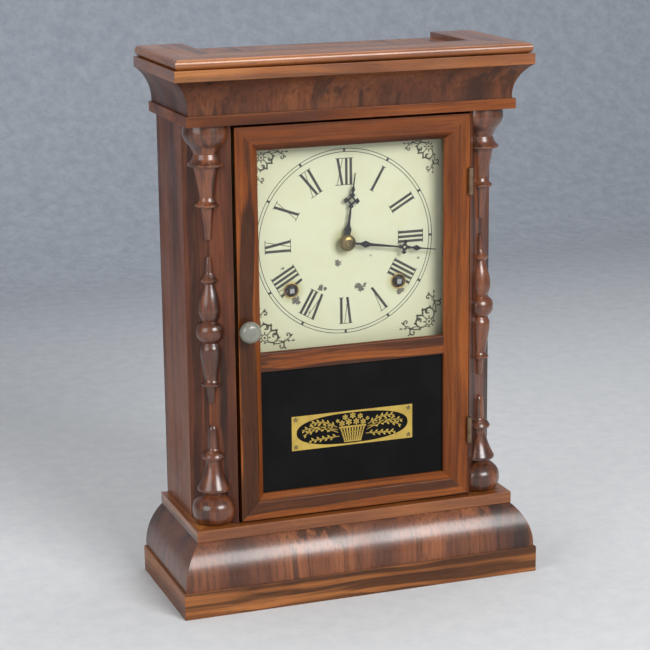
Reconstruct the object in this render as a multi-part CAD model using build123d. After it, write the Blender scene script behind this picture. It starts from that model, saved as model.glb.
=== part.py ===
# Cottage clock: a small veneered spring clock with canted corners, split turnings, a glazed door,
# an eight-day going train, a strike train, a gong and a pendulum. Millimetres, Z up, front towards -Y.
# Everything is laid out from the door's front plane, y = 0, and moved to the frame at the end.
import os
from math import acos, atan2, cos, degrees, hypot, pi, radians, sin, sqrt

from build123d import *

# Case: overall sizes
case_width = 256.0
case_depth = 100.0
cant = 30.0
side_thickness = 8.0
post_thickness = 8.5
back_thickness = 6.0
board_thickness = 9.0

# Case: heights above the floor
plinth_height = 20.9
cushion_height = 35.3
case_opening_height = 315.2
cove_height = 27.2
crown_height = 8.3
cap_thickness = 8.0

# Case: how far each moulding stands out from the case
plinth_out = 21.5
cushion_step = 1.8
cushion_radius = 44.0
shelf_out = 5.6
cushion_top_step = 0.8
top_board_out = 5.9
cove_foot_step = 2.3
cove_radius = 31.5
cove_top_step = 0.4
crown_out = 16.9
cap_step = 1.1
cap_nose = 3.8

# Case: top frame and base rails
cap_side_width = 38.0
cap_front_depth = 40.0
panel_thickness = 6.0
panel_drop = 4.7
rail_thickness = 12.0

# Split turnings: every radius is taken from these, heights are in the profiles
ball_radius = 17.8
drop_bulb_radius = 18.2
spindle_ball_radius = 11.6

# Door
door_gap_bottom = 1.7
door_gap_top = 2.7
door_gap_hinge = 0.5
door_gap_latch = 3.0
door_thickness = 15.0
frame_width = 19.2
bevel_width = 5.6
bevel_depth = 5.5
glass_front = 8.0
glass_thickness = 2.0
glass_lap = 4.0
glass_play = 0.3
middle_rail_height = 15.6
middle_rail_level = 119.6
middle_rail_bevel = 1.2

# Hinges
hinge_barrel_radius = 2.0
hinge_pin_radius = 0.9
hinge_clearance = 0.05
hinge_height = 21.0
hinge_leaf_depth = 10.0
hinge_leaf_thickness = 1.0
hinge_leaf_gap = 0.1
hinge_stand_off = 2.1
hinge_knuckle_gap = 0.15
hinge_upper_level = 249.0
hinge_lower_level = 45.5

# Knob and latch
knob_level = 156.0
knob_radius = 8.5
knob_length = 14.5
knob_neck_radius = 4.0
knob_neck_length = 4.0
latch_shaft_radius = 2.2
latch_clearance = 0.08
latch_reach = 5.2
latch_width = 6.0
latch_thickness = 1.5
latch_clear_back = 0.4

# Dial
dial_level = 214.7
dial_front = 20.0
dial_thickness = 1.0
dial_width = 208.0
dial_height = 186.0
dial_centre_hole_radius = 4.5
winding_spread = 45.0
winding_drop = 35.5
eyelet_radius = 6.3
eyelet_bore_radius = 5.2
eyelet_stand = 0.8
cleat_width = 26.0
cleat_depth = 19.0

# Hands
minute_angle = 98.3
hour_angle = 8.2
hand_thickness = 0.8
hour_hand_front = 16.2
minute_hand_front = 13.4
hub_radius = 6.5
hub_height = 2.9
minute_reach = 75.5
hour_reach = 55.0

# Movement frame
plate_width = 122.0
plate_foot_level = 141.7
plate_height = 144.0
plate_thickness = 1.6
front_plate_front = 33.0
plate_spacing = 33.4
pillar_radius = 2.6
pillar_inset = 5.0
foot_size = 8.0
nut_radius = 3.2
nut_height = 2.2

# Arbors and gearing
arbor_radius = 1.25
arbor_clearance = 0.06
rod_sides = 10
hole_sides = 12
hub_disc_radius = 3.2
centre_arbor_radius = 1.25
winding_arbor_radius = 2.5
winding_square = 3.6
winding_arbor_front = 17.5
wheel_thickness = 1.5
pinion_length = 4.0
great_wheel_teeth = 54
great_wheel_module = 1.05
great_pinion_leaves = 8
second_wheel_teeth = 46
second_wheel_module = 1.0
second_pinion_leaves = 8
centre_wheel_teeth = 72
centre_wheel_module = 0.6
centre_pinion_leaves = 8
third_wheel_teeth = 60
third_wheel_module = 0.55
third_pinion_leaves = 7
escape_teeth = 42
escape_radius = 11.5
strike_second_teeth = 46
strike_second_module = 0.9
strike_second_leaves = 8
locking_wheel_teeth = 42
locking_wheel_module = 0.6
locking_pinion_leaves = 7
cannon_teeth = 12
minute_wheel_teeth = 36
minute_pinion_teeth = 10
hour_wheel_teeth = 40
motion_distance = 12.5
hour_pipe_radius = 3.0
hour_pipe_bore = 2.1

# Depths behind the front plane of what turns between and before the plates
great_wheel_depth = 37.0
spring_front = 41.0
spring_width = 19.0
spring_outer_radius = 25.0
spring_inner_radius = 6.5
spring_strip = 0.9
spring_turns = 3
spring_steps = 14
second_wheel_depth = 62.0
centre_wheel_depth = 52.0
third_wheel_depth = 44.0
strike_second_depth = 62.0
locking_wheel_depth = 44.0
fly_depth = 49.0
fly_length = 11.0
fly_reach = 11.5
hour_wheel_depth = 28.4
minute_wheel_depth = 30.8
motion_thickness = 1.2
escape_wheel_depth = 29.4
escape_thickness = 1.2

# Escapement and pendulum
escape_offset = -9.0
escape_above_centre = 33.0
verge_above_escape = 14.0
verge_stud_radius = 1.0
verge_front = 28.8
verge_back = 31.2
pallet_clearance = 1.4
escape_bridge_front = 27.4
escape_bridge_thickness = 1.0
escape_bridge_half = 16.0
escape_bridge_height = 6.0
suspension_above_centre = 63.5
crutch_below_verge = 24.0
rod_depth = 23.5
rod_radius = 0.7
bob_drop = 226.0
bob_radius = 21.0
bob_thickness = 9.0
bob_chamfer = 2.5

# Gong and hammer
gong_level = 64.7
gong_base_radius = 15.0
gong_block_half = 7.0
gong_wire_width = 2.6
gong_wire_depth = 2.0
gong_inner_radius = 12.0
gong_pitch = 8.0
gong_turns = 3
gong_steps = 24
gong_coil_depth = 82.0
hammer_pivot_x = -33.0
hammer_pivot_level = 148.8
hammer_gap = 1.2
hammer_head_radius = 4.0
hammer_head_length = 12.0
hammer_depth = 76.0
lifting_tail_depth = 60.4
hammer_wire_radius = 0.9
lifting_pins = 8
lifting_pin_circle = 18.2
lifting_pin_length = 1.8
lifting_tail_gap = 0.5

# Derived levels
half_width = case_width / 2
cushion_top = plinth_height + cushion_height
shelf_top = cushion_top + board_thickness
case_top = shelf_top + case_opening_height
cove_foot = case_top + board_thickness - 1.0
cove_top = cove_foot + cove_height
crown_top = cove_top + crown_height
clock_top = crown_top + cap_thickness
overall_depth = case_depth + plinth_out
front_shift = -(case_depth - plinth_out) / 2

# Derived door opening and door
post_edge = half_width - cant
post_flat = post_thickness * sqrt(2)
door_left = -post_edge + door_gap_latch
door_right = post_edge - door_gap_hinge
door_bottom = shelf_top + door_gap_bottom
door_top = case_top - door_gap_top
sight_left = door_left + frame_width
sight_right = door_right - frame_width
sight_bottom = door_bottom + frame_width
sight_top = door_top - frame_width
middle_rail_bottom = shelf_top + middle_rail_level
middle_rail_top = middle_rail_bottom + middle_rail_height
glass_back = glass_front + glass_thickness
hinge_x = post_edge - door_gap_hinge / 2
hinge_y = -hinge_stand_off

# Derived places of the movement
back_front = case_depth - back_thickness
centre = (0.0, shelf_top + dial_level)
dial_back = dial_front + dial_thickness
front_plate_back = front_plate_front + plate_thickness
back_plate_front = front_plate_back + plate_spacing
back_plate_back = back_plate_front + plate_thickness
plate_foot = shelf_top + plate_foot_level
plate_head = plate_foot + plate_height
escape_at = (escape_offset, centre[1] + escape_above_centre)
verge_at = (escape_offset, escape_at[1] + verge_above_escape)
suspension_at = (escape_offset, centre[1] + suspension_above_centre)
crutch_level = verge_at[1] - crutch_below_verge
going_great_at = (winding_spread, centre[1] - winding_drop)
strike_great_at = (-winding_spread, centre[1] - winding_drop)
gong_at = (0.0, shelf_top + gong_level)
hammer_at = (hammer_pivot_x, shelf_top + hammer_pivot_level)


def pitch_radius(teeth, module):
    return teeth * module / 2


def mesh_distance(teeth, leaves, module):
    return pitch_radius(teeth, module) + pitch_radius(leaves, module)


def toward(point, distance, angle_deg):
    angle = radians(angle_deg)
    return (point[0] + distance * cos(angle), point[1] + distance * sin(angle))


def angle_between(start, end):
    return degrees(atan2(end[1] - start[1], end[0] - start[0]))


def meeting_point(a, distance_a, b, distance_b, side):
    """The point at the two given distances from a and b, on the left (+1) or right (-1) of a to b."""
    span = hypot(b[0] - a[0], b[1] - a[1])
    swing = degrees(acos((distance_a**2 + span**2 - distance_b**2) / (2 * distance_a * span)))
    return toward(a, distance_a, angle_between(a, b) + side * swing)


# Arbor places that follow from the gearing
great_distance = mesh_distance(great_wheel_teeth, great_pinion_leaves, great_wheel_module)
second_distance = mesh_distance(second_wheel_teeth, second_pinion_leaves, second_wheel_module)
centre_distance = mesh_distance(centre_wheel_teeth, centre_pinion_leaves, centre_wheel_module)
third_distance = mesh_distance(third_wheel_teeth, third_pinion_leaves, third_wheel_module)
strike_distance = mesh_distance(strike_second_teeth, strike_second_leaves, strike_second_module)
locking_distance = mesh_distance(locking_wheel_teeth, locking_pinion_leaves, locking_wheel_module)
strike_second_angle = 70.0
locking_angle = 100.0
fly_angle = 60.0
minute_wheel_angle = -20.0
second_at = meeting_point(going_great_at, great_distance, centre, second_distance, 1)
third_at = meeting_point(centre, centre_distance, escape_at, third_distance, -1)
strike_second_at = toward(strike_great_at, great_distance, strike_second_angle)
locking_at = toward(strike_second_at, strike_distance, locking_angle)
fly_at = toward(locking_at, locking_distance, fly_angle)
minute_wheel_at = toward(centre, motion_distance, minute_wheel_angle)
cannon_module = 2 * motion_distance / (cannon_teeth + minute_wheel_teeth)
hour_module = 2 * motion_distance / (minute_pinion_teeth + hour_wheel_teeth)


# Basic shapes
def block(x0, x1, y0, y1, z0, z1):
    size = Box(x1 - x0, y1 - y0, z1 - z0)
    return Pos((x0 + x1) / 2, (y0 + y1) / 2, (z0 + z1) / 2) * size


def polygon(points):
    return make_face(Polyline(*points, close=True))


def raised(face, z0, z1):
    """A plan outline (x, y) carried from z0 up to z1."""
    return extrude(Pos(0, 0, z0) * face, amount=z1 - z0, dir=(0, 0, 1))


def deepened(face, y0, y1):
    """A front outline (x, z) carried from depth y0 back to y1."""
    plane = Plane(origin=(0, y1, 0), x_dir=(1, 0, 0), z_dir=(0, -1, 0))
    return extrude(plane * face, amount=y1 - y0)


def across(face, x0, x1):
    """A side outline (y, z) carried from x0 to x1."""
    plane = Plane(origin=(x0, 0, 0), x_dir=(0, 1, 0), z_dir=(1, 0, 0))
    return extrude(plane * face, amount=x1 - x0)


def round_bar(place, radius, y0, y1):
    return deepened(Pos(place[0], place[1]) * Circle(radius), y0, y1)


def rod(place, radius, y0, y1):
    """A small arbor, with flats so that it stays light."""
    return deepened(Pos(*place) * RegularPolygon(radius, rod_sides), y0, y1)


def as_one(shapes):
    result = shapes[0]
    for shape in shapes[1:]:
        result = result + shape
    return result


def group(shapes):
    return Compound(children=list(shapes))


def mirrored(shape):
    return mirror(shape, about=Plane.YZ)


# Mouldings: a profile (out, z) goes across the front and back along both sides, mitred at the corners
def front_moulding(profile, reach):
    """A profile drawn in (y, z), with y negative outwards, cut to the two front mitres."""
    length = half_width + reach
    run = across(profile, -length, length)
    plan = polygon([(-length, -reach), (length, -reach), (half_width, 0), (-half_width, 0)])
    return run & raised(plan, 0, clock_top)


def side_moulding(profile, reach):
    """The same profile drawn in (x, z), for the right side."""
    run = deepened(profile, -reach, case_depth)
    far = half_width + reach
    plan = polygon([(half_width, 0), (far, -reach), (far, case_depth), (half_width, case_depth)])
    return run & raised(plan, 0, clock_top)


def strip_profile(out, z0, z1, side):
    sign = 1 if side else -1
    near = half_width if side else 0.0
    points = [(near, z0), (near + sign * out, z0), (near + sign * out, z1), (near, z1)]
    return polygon(points)


def arc_profile(out0, z0, out1, z1, radius, side):
    """A strip whose face is an arc from (out0, z0) to (out1, z1)."""
    sign = 1 if side else -1
    near = half_width if side else 0.0
    foot = (near + sign * out0, z0)
    head = (near + sign * out1, z1)
    face = RadiusArc(foot, head, sign * radius)
    rest = Polyline(head, (near, z1), (near, z0), foot)
    return make_face([face, *rest.edges()])


def plinth():
    front = front_moulding(strip_profile(plinth_out, 0, plinth_height, False), plinth_out)
    right = side_moulding(strip_profile(plinth_out, 0, plinth_height, True), plinth_out)
    return group([front, right, mirrored(right)])


def cushion_arc(side):
    foot_out = plinth_out - cushion_step
    head_out = shelf_out - cushion_top_step
    return arc_profile(foot_out, plinth_height, head_out, cushion_top, -cushion_radius, side)


def cushion_front():
    return front_moulding(cushion_arc(False), plinth_out)


def cushion_sides():
    right = side_moulding(cushion_arc(True), plinth_out)
    return group([right, mirrored(right)])


def base_rails():
    inner = half_width - rail_thickness
    back = case_depth - rail_thickness
    right = block(inner, half_width, rail_thickness, back, 0, cushion_top)
    front = block(-half_width, half_width, 0, rail_thickness, 0, cushion_top)
    rear = block(-half_width, half_width, back, case_depth, 0, cushion_top)
    return group([front, rear, right, mirrored(right)])


def shelf_board():
    edge = half_width + shelf_out
    return block(-edge, edge, -shelf_out, case_depth, cushion_top, shelf_top)


def top_board():
    edge = half_width + top_board_out
    return block(-edge, edge, -top_board_out, case_depth, case_top, cove_foot)


def cove_arc(side):
    foot_out = top_board_out - cove_foot_step
    head_out = crown_out - cove_top_step
    return arc_profile(foot_out, cove_foot, head_out, cove_top, cove_radius, side)


def cove_front():
    return front_moulding(cove_arc(False), crown_out)


def cove_sides():
    right = side_moulding(cove_arc(True), crown_out)
    return group([right, mirrored(right)])


def crown_strips():
    front = front_moulding(strip_profile(crown_out, cove_top, crown_top, False), crown_out)
    right = side_moulding(strip_profile(crown_out, cove_top, crown_top, True), crown_out)
    return group([front, right, mirrored(right)])


# Top frame
cap_out = crown_out - cap_step
cap_edge = half_width + cap_out
cap_inner = cap_edge - cap_side_width
panel_front = cap_front_depth - cap_out
panel_top = clock_top - panel_drop
panel_bottom = panel_top - panel_thickness


def cornice_core():
    core = block(-half_width, half_width, 0, case_depth, cove_foot, crown_top)
    return core - block(-cap_inner, cap_inner, panel_front, case_depth, panel_bottom, crown_top)


def top_panel():
    return block(-cap_inner, cap_inner, panel_front, case_depth, panel_bottom, panel_top)


def cap_front():
    board = block(-cap_inner, cap_inner, -cap_out, panel_front, crown_top, clock_top)
    nose = board.edges().filter_by(Axis.X).group_by(Axis.Y)[0]
    return fillet(nose, cap_nose)


def cap_sides():
    board = block(cap_inner, cap_edge, -cap_out, case_depth, crown_top, clock_top)
    front_nose = board.edges().filter_by(Axis.X).group_by(Axis.Y)[0]
    side_nose = board.edges().filter_by(Axis.Y).group_by(Axis.X)[-1]
    right = fillet(front_nose + side_nose, cap_nose)
    return group([right, mirrored(right)])


# Carcass: the canted posts are planks at 45 degrees, mitred to the sides
def left_post_plan():
    inner_corner = (-half_width + side_thickness, cant + post_flat - side_thickness)
    return [(-post_edge, 0), (-post_edge, post_flat), inner_corner, (-half_width, cant)]


def post(right):
    plank = raised(polygon(left_post_plan()), shelf_top, case_top)
    if right:
        plank = mirrored(plank)
        for level in (hinge_lower_level, hinge_upper_level):
            plank = plank - case_leaf_recess(level)
    return plank


def side(right):
    inner = -half_width + side_thickness
    plan = [(-half_width, cant), left_post_plan()[2], (inner, case_depth), (-half_width, case_depth)]
    board = raised(polygon(plan), shelf_top, case_top)
    return mirrored(board) if right else board


def backboard():
    inner = half_width - side_thickness
    return block(-inner, inner, back_front, case_depth, shelf_top, case_top)


# Split turnings: a half round on the middle of each cant. Outlines are (radius, height above the shelf)
def facets_between(rings):
    """A closed solid with flat sides between rings of points, each ring with the same number."""
    faces = [Face(Wire.make_polygon(rings[0])), Face(Wire.make_polygon(rings[-1]))]
    for low, high in zip(rings, rings[1:]):
        count = len(low)
        for corner in range(count):
            after = (corner + 1) % count
            faces.append(Face(Wire.make_polygon([low[corner], low[after], high[after], high[corner]])))
    return Solid(Shell(faces))


def half_turning(outline, sides=9):
    """A half round of flat facets, one ring of them between each pair of heights."""
    rings = []
    for r, height in outline:
        angles = [180.0 * side / sides for side in range(sides + 1)]
        ring = [(*toward((0, 0), r, angle), shelf_top + height) for angle in angles]
        rings.append(ring)
    return facets_between(rings)


def on_cants(outline):
    middle_x = half_width - cant / 2
    middle_y = cant / 2
    right = Pos(middle_x, middle_y, 0) * Rot(0, 0, -135) * half_turning(outline)
    return group([right, mirrored(right)])


def lower_turnings():
    ball = [(12.2, 0), (16.9, 5.0), (ball_radius, 10.5), (16.2, 17.0), (8.3, 24.0)]
    bell = [(8.3, 25.6), (13.4, 27.6), (10.2, 33.0), (7.6, 40.0), (6.5, 47.0)]
    ring = [(9.6, 51.5), (9.7, 56.5), (7.4, 59.5), (4.6, 60.3)]
    return on_cants([*ball, *bell, *ring, (3.3, 79.0)])


def middle_turnings():
    tip = [(2.6, 97.0), (4.2, 109.6), (8.2, 111.6), (7.9, 113.6), (5.8, 116.0)]
    lower_vase = [(8.1, 131.0), (8.9, 140.1), (6.6, 145.6)]
    ball = [(10.8, 149.4), (spindle_ball_radius, 153.8), (10.8, 158.2), (6.4, 162.7)]
    upper_vase = [(8.9, 168.4), (9.2, 173.4), (7.4, 182.0), (4.7, 191.0)]
    head = [(7.0, 194.4), (6.9, 196.6), (3.4, 200.0), (2.4, 213.0)]
    return on_cants([*tip, *lower_vase, *ball, *upper_vase, *head])


def upper_turnings():
    tip = [(3.0, 226.3), (4.4, 244.5), (9.6, 251.5), (10.2, 254.0), (8.6, 256.6), (6.2, 260.0)]
    flare = [(9.2, 272.0), (14.9, 285.0), (14.6, 286.3), (10.2, 292.5)]
    bulb = [(11.7, 297.0), (15.9, 302.0), (drop_bulb_radius, 308.8)]
    return on_cants([*tip, *flare, *bulb, (drop_bulb_radius - 1.0, case_opening_height)])


# Door frame: mitred, with an inner bevel and a rebate for the glass at the back
def frame_profile():
    """From the outer edge inwards: (inwards, depth)."""
    flat = frame_width - bevel_width
    lap = frame_width - glass_lap
    points = [(0, 0), (flat, 0), (frame_width, bevel_depth), (frame_width, glass_front)]
    return points + [(lap, glass_front), (lap, door_thickness), (0, door_thickness)]


def door_stile(right):
    edge = door_right if right else door_left
    sign = -1 if right else 1
    plan = polygon([(edge + sign * inwards, depth) for inwards, depth in frame_profile()])
    stile = raised(plan, door_bottom, door_top)
    mitre = frame_width
    inner = edge + sign * mitre
    outline = [(edge, door_bottom), (inner, sight_bottom), (inner, sight_top), (edge, door_top)]
    stile = stile & deepened(polygon(outline), 0, door_thickness)
    if right:
        for level in (hinge_lower_level, hinge_upper_level):
            stile = stile - door_leaf_recess(level)
        return stile
    bore = latch_shaft_radius + latch_clearance
    return stile - round_bar((knob_x, knob_z), bore, 0, door_thickness)


def door_rail(top):
    edge = door_top if top else door_bottom
    sign = -1 if top else 1
    section = polygon([(depth, edge + sign * inwards) for inwards, depth in frame_profile()])
    rail = across(section, door_left, door_right)
    inner = edge + sign * frame_width
    outline = [(door_left, edge), (sight_left, inner), (sight_right, inner), (door_right, edge)]
    return rail & deepened(polygon(outline), 0, door_thickness)


def middle_rail_section():
    """From the bottom edge round to the top edge: (depth, z)."""
    front = bevel_depth
    low = middle_rail_bottom
    high = middle_rail_top
    points = [(front, low), (front, high - middle_rail_bevel), (front + middle_rail_bevel, high)]
    points += [(glass_front, high), (glass_front, high - glass_lap), (door_thickness, high - glass_lap)]
    points += [(door_thickness, low + glass_lap), (glass_front, low + glass_lap), (glass_front, low)]
    return points


def door_middle_rail():
    """It butts between the stiles, with tongues that fill their rebates behind the glass line."""
    rail = across(polygon(middle_rail_section()), sight_left, sight_right)
    tongue_bottom = middle_rail_bottom + glass_lap
    tongue_top = middle_rail_top - glass_lap
    lapped = (sight_left - glass_lap, sight_right + glass_lap)
    tongue = block(*lapped, glass_front, door_thickness, tongue_bottom, tongue_top)
    return rail + tongue


def pane(z0, z1):
    left = sight_left - glass_lap + glass_play
    right = sight_right + glass_lap - glass_play
    return block(left, right, glass_front, glass_back, z0 + glass_play, z1 - glass_play)


def dial_glass():
    return pane(middle_rail_top - glass_lap, sight_top + glass_lap)


def tablet_glass():
    return pane(sight_bottom - glass_lap, middle_rail_bottom + glass_lap)


# Hinges: two butts, with the barrels standing before the joint of door and post
def hinge_levels(level):
    bottom = shelf_top + level
    third = hinge_height / 3
    return bottom, bottom + third, bottom + 2 * third, bottom + hinge_height


def case_leaf_recess(level):
    bottom, _, _, top = hinge_levels(level)
    outer = case_leaf_x() + hinge_leaf_thickness
    return block(post_edge - 1.0, outer, 0, hinge_leaf_depth, bottom, top)


def door_leaf_recess(level):
    bottom, _, _, top = hinge_levels(level)
    inner = door_leaf_x() - hinge_leaf_thickness
    return block(inner, door_right + 1.0, 0, hinge_leaf_depth, bottom, top)


def case_leaf_x():
    return hinge_x + hinge_leaf_gap / 2


def door_leaf_x():
    return hinge_x - hinge_leaf_gap / 2


def knuckle(bottom, top, bore):
    barrel = Pos(hinge_x, hinge_y, (bottom + top) / 2) * Cylinder(hinge_barrel_radius, top - bottom)
    if bore:
        barrel = barrel - Pos(hinge_x, hinge_y, (bottom + top) / 2) * Cylinder(bore, top - bottom)
    return barrel


def hinge_leaves_case():
    leaves = []
    for level in (hinge_lower_level, hinge_upper_level):
        bottom, low, high, top = hinge_levels(level)
        x0 = case_leaf_x()
        leaf = block(x0, x0 + hinge_leaf_thickness, 0, hinge_leaf_depth, bottom, top)
        pin = Pos(hinge_x, hinge_y, (bottom + top) / 2) * Cylinder(hinge_pin_radius, hinge_height)
        pieces = [leaf, pin]
        for z0, z1 in ((bottom, low - hinge_knuckle_gap), (high + hinge_knuckle_gap, top)):
            pieces.append(knuckle(z0, z1, 0))
            pieces.append(block(x0, x0 + hinge_leaf_thickness, hinge_y, 0, z0, z1))
        leaves.append(as_one(pieces))
    return group(leaves)


def hinge_leaves_door():
    leaves = []
    for level in (hinge_lower_level, hinge_upper_level):
        bottom, low, high, top = hinge_levels(level)
        x1 = door_leaf_x()
        x0 = x1 - hinge_leaf_thickness
        neck = block(x0, x1, hinge_y, 0, low, high)
        leaf = block(x0, x1, 0, hinge_leaf_depth, bottom, top)
        bore = hinge_pin_radius + hinge_clearance
        barrel = knuckle(low, high, 0) + neck
        bored = barrel - Pos(hinge_x, hinge_y, (low + high) / 2) * Cylinder(bore, hinge_height)
        leaves.append(leaf + bored)
    return group(leaves)


# Knob and latch: the knob turns a bar behind the door, which is shown turned up, off the post
knob_x = door_left + (frame_width - bevel_width) / 2
knob_z = shelf_top + knob_level


def faceted_along_y(place, sections, sides=20):
    """Flat facets between rings of the given radii and depths, for a small round piece."""
    rings = []
    for radius, depth in sections:
        points = [toward(place, radius, 360.0 * side / sides) for side in range(sides)]
        rings.append([(x, depth, z) for x, z in points])
    return facets_between(rings)


def door_knob():
    r = knob_radius
    back = -knob_neck_length
    front = -knob_length
    sections = [(knob_neck_radius, -0.2), (knob_neck_radius, back), (r * 0.86, back - 1.4), (r, back - 4.6)]
    sections += [(r * 0.93, front + 3.0), (r * 0.55, front)]
    return faceted_along_y((knob_x, knob_z), sections)


def door_latch():
    shaft = round_bar((knob_x, knob_z), latch_shaft_radius, -0.2, door_thickness + latch_clear_back)
    back = door_thickness + latch_clear_back
    length = knob_x - door_left + latch_reach
    width = latch_width / 2
    bar = block(knob_x - width, knob_x + width, back, back + latch_thickness, knob_z - width, knob_z + length)
    return shaft + bar


# Dial
def dial():
    half = dial_width / 2
    low = centre[1] - dial_height / 2
    plate = block(-half, half, dial_front, dial_back, low, low + dial_height)
    plate = plate - round_bar(centre, dial_centre_hole_radius, dial_front, dial_back)
    for place in (going_great_at, strike_great_at):
        plate = plate - round_bar(place, eyelet_bore_radius, dial_front, dial_back)
    return plate


def dial_eyelets():
    rings = []
    for place in (going_great_at, strike_great_at):
        ring = RegularPolygon(eyelet_radius, 24) - RegularPolygon(eyelet_bore_radius, 24)
        rings.append(deepened(Pos(*place) * ring, dial_front - eyelet_stand, dial_front))
    return group(rings)


def dial_cleats():
    """Glue blocks behind the dial's edges, against the post and the side."""
    inner = -half_width + side_thickness + cleat_width
    flank = -post_edge + post_flat - dial_back
    side_face = -half_width + side_thickness
    back = dial_back + cleat_depth
    corner = left_post_plan()[2]
    plan = [(inner, dial_back), (flank, dial_back), corner, (side_face, back), (inner, back)]
    low = centre[1] - dial_height / 2
    left = raised(polygon(plan), low, low + dial_height)
    return group([left, mirrored(left)])


# Hands: outlines as (reach, half width) along the hand
def hand_outline(points, direction_deg):
    """Mirrors the outline about the hand's own axis and turns it clockwise from twelve."""
    outline = [(-half, reach) for reach, half in points] + [(half, reach) for reach, half in reversed(points)]
    return Rot(0, 0, -direction_deg) * polygon(outline)


def diamond_hole(reach, size, direction_deg):
    points = [(0, reach - size), (size, reach), (0, reach + size), (-size, reach)]
    return Rot(0, 0, -direction_deg) * polygon(points)


def minute_hand_points():
    tip = minute_reach
    cross = 48.5
    points = [(0.0, 0.9), (11.0, 0.9), (15.1, 2.8), (19.5, 1.2), (42.4, 0.6), (43.6, 0.8), (44.8, 1.7)]
    points += [(45.7, 0.9), (cross - 0.9, 2.8), (cross - 2.0, 4.2), (cross, 6.0), (cross + 2.0, 4.2)]
    points += [(cross + 0.9, 2.8), (51.4, 0.9), (52.8, 1.4), (53.8, 0.6), (56.0, 0.9), (58.7, 2.3)]
    points += [(62.5, 0.6), (tip, 0.3)]
    return points


def hour_hand_points():
    tip = hour_reach
    cross = 33.0
    points = [(0.0, 2.4), (7.4, 2.4), (10.3, 2.9), (13.4, 1.4), (16.8, 0.9), (21.0, 1.0), (27.0, 0.6)]
    points += [(28.2, 2.1), (30.0, 1.3), (cross - 1.0, 3.2), (cross - 2.5, 4.7), (cross, 6.8)]
    points += [(cross + 2.5, 4.7), (cross + 1.0, 3.2), (36.0, 1.3), (37.7, 2.4), (39.2, 0.6)]
    points += [(41.8, 1.6), (44.5, 0.5), (tip, 0.3)]
    return points


def minute_hand():
    plan = hand_outline(minute_hand_points(), minute_angle)
    plan = plan - diamond_hole(48.5, 1.2, minute_angle)
    back = minute_hand_front + hand_thickness
    blade = deepened(Pos(*centre) * plan, minute_hand_front, back)
    front = minute_hand_front
    dome = [(hub_radius, back), (hub_radius, front), (hub_radius * 0.86, front - hub_height * 0.55)]
    dome += [(hub_radius * 0.45, front - hub_height)]
    return blade + faceted_along_y(centre, dome)


def hour_hand():
    plan = hand_outline(hour_hand_points(), hour_angle)
    plan = plan - diamond_hole(33.0, 2.1, hour_angle)
    boss = Circle(hour_pipe_radius + 2.2)
    blade = deepened(Pos(*centre) * (plan + boss), hour_hand_front, hour_hand_front + hand_thickness)
    return blade - round_bar(centre, hour_pipe_radius, hour_hand_front, hour_hand_front + hand_thickness)


# Gearing
def toothed_outline(teeth, module, phase_deg, leaf_tip=0.0):
    """Pointed wheel teeth, or pinion leaves with tips of leaf_tip pitches; one stands at phase_deg."""
    pitch = 360.0 / teeth
    radius = pitch_radius(teeth, module)
    root = radius - 1.25 * module
    points = []
    for tooth in range(teeth):
        middle = phase_deg + tooth * pitch
        if leaf_tip:
            tip = radius + 0.55 * module
            points.append(toward((0, 0), root, middle - 0.30 * pitch))
            points.append(toward((0, 0), tip, middle - leaf_tip * pitch))
            points.append(toward((0, 0), tip, middle + leaf_tip * pitch))
            points.append(toward((0, 0), root, middle + 0.30 * pitch))
        else:
            points.append(toward((0, 0), radius + 0.9 * module, middle))
            points.append(toward((0, 0), root, middle + pitch / 2))
    return polygon(points)


def spoke_windows(outer, inner, arms=4, spoke=3.0):
    """Windows between the arms of a wheel, with flats for the rim."""
    windows = []
    step = 360.0 / arms
    for arm in range(arms):
        start = arm * step
        margin_outer = degrees(spoke / 2 / outer)
        margin_inner = degrees(spoke / 2 / inner)
        spans = [start + margin_outer, start + step / 2, start + step - margin_outer]
        points = [toward((0, 0), outer, angle) for angle in spans]
        points.append(toward((0, 0), inner, start + step - margin_inner))
        points.append(toward((0, 0), inner, start + margin_inner))
        windows.append(polygon(points))
    return windows


def wheel(place, teeth, module, phase_deg, depth, thickness=wheel_thickness, rim=2.6, hub=4.0, cut=True):
    outline = toothed_outline(teeth, module, phase_deg)
    outer = pitch_radius(teeth, module) - 1.25 * module - rim
    if cut:
        for window in spoke_windows(outer, hub + 1.0):
            outline = outline - window
    return deepened(Pos(*place) * outline, depth, depth + thickness)


def pinion(place, leaves, module, phase_deg, depth, length=pinion_length):
    outline = toothed_outline(leaves, module, phase_deg, leaf_tip=0.12)
    return deepened(Pos(*place) * outline, depth, depth + length)


def gap_phase(leaves, toward_deg):
    """The phase that puts a gap, and not a leaf, towards the wheel that drives."""
    return toward_deg + 180.0 / leaves


def arbor(place, radius=arbor_radius, y0=front_plate_front, y1=back_plate_back):
    return rod(place, radius, y0, y1)


def bearing(place, radius=arbor_radius, y0=front_plate_front, y1=back_plate_back):
    """The round hole that an arbor of this radius runs in."""
    return round_bar(place, radius + arbor_clearance, y0, y1)


def pinion_depth(wheel_depth):
    return wheel_depth + wheel_thickness / 2 - pinion_length / 2


def great_wheel(place, mate):
    """Loose on its winding arbor, with a click hub."""
    face = wheel(place, great_wheel_teeth, great_wheel_module, angle_between(place, mate), great_wheel_depth)
    hub = rod(place, 7.0, great_wheel_depth, great_wheel_depth + wheel_thickness + 1.0)
    return face + hub - bearing(place, winding_arbor_radius)


def winding_arbor(place):
    """Square in front for the key, round between the plates, with the open spring wound on it."""
    square = Rectangle(winding_square, winding_square)
    key_end = deepened(Pos(*place) * square, winding_arbor_front, front_plate_front)
    shaft = arbor(place, winding_arbor_radius)
    collar = rod(place, spring_inner_radius - 0.3, spring_front, spring_front + spring_width)
    return as_one([key_end, shaft, collar])


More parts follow.
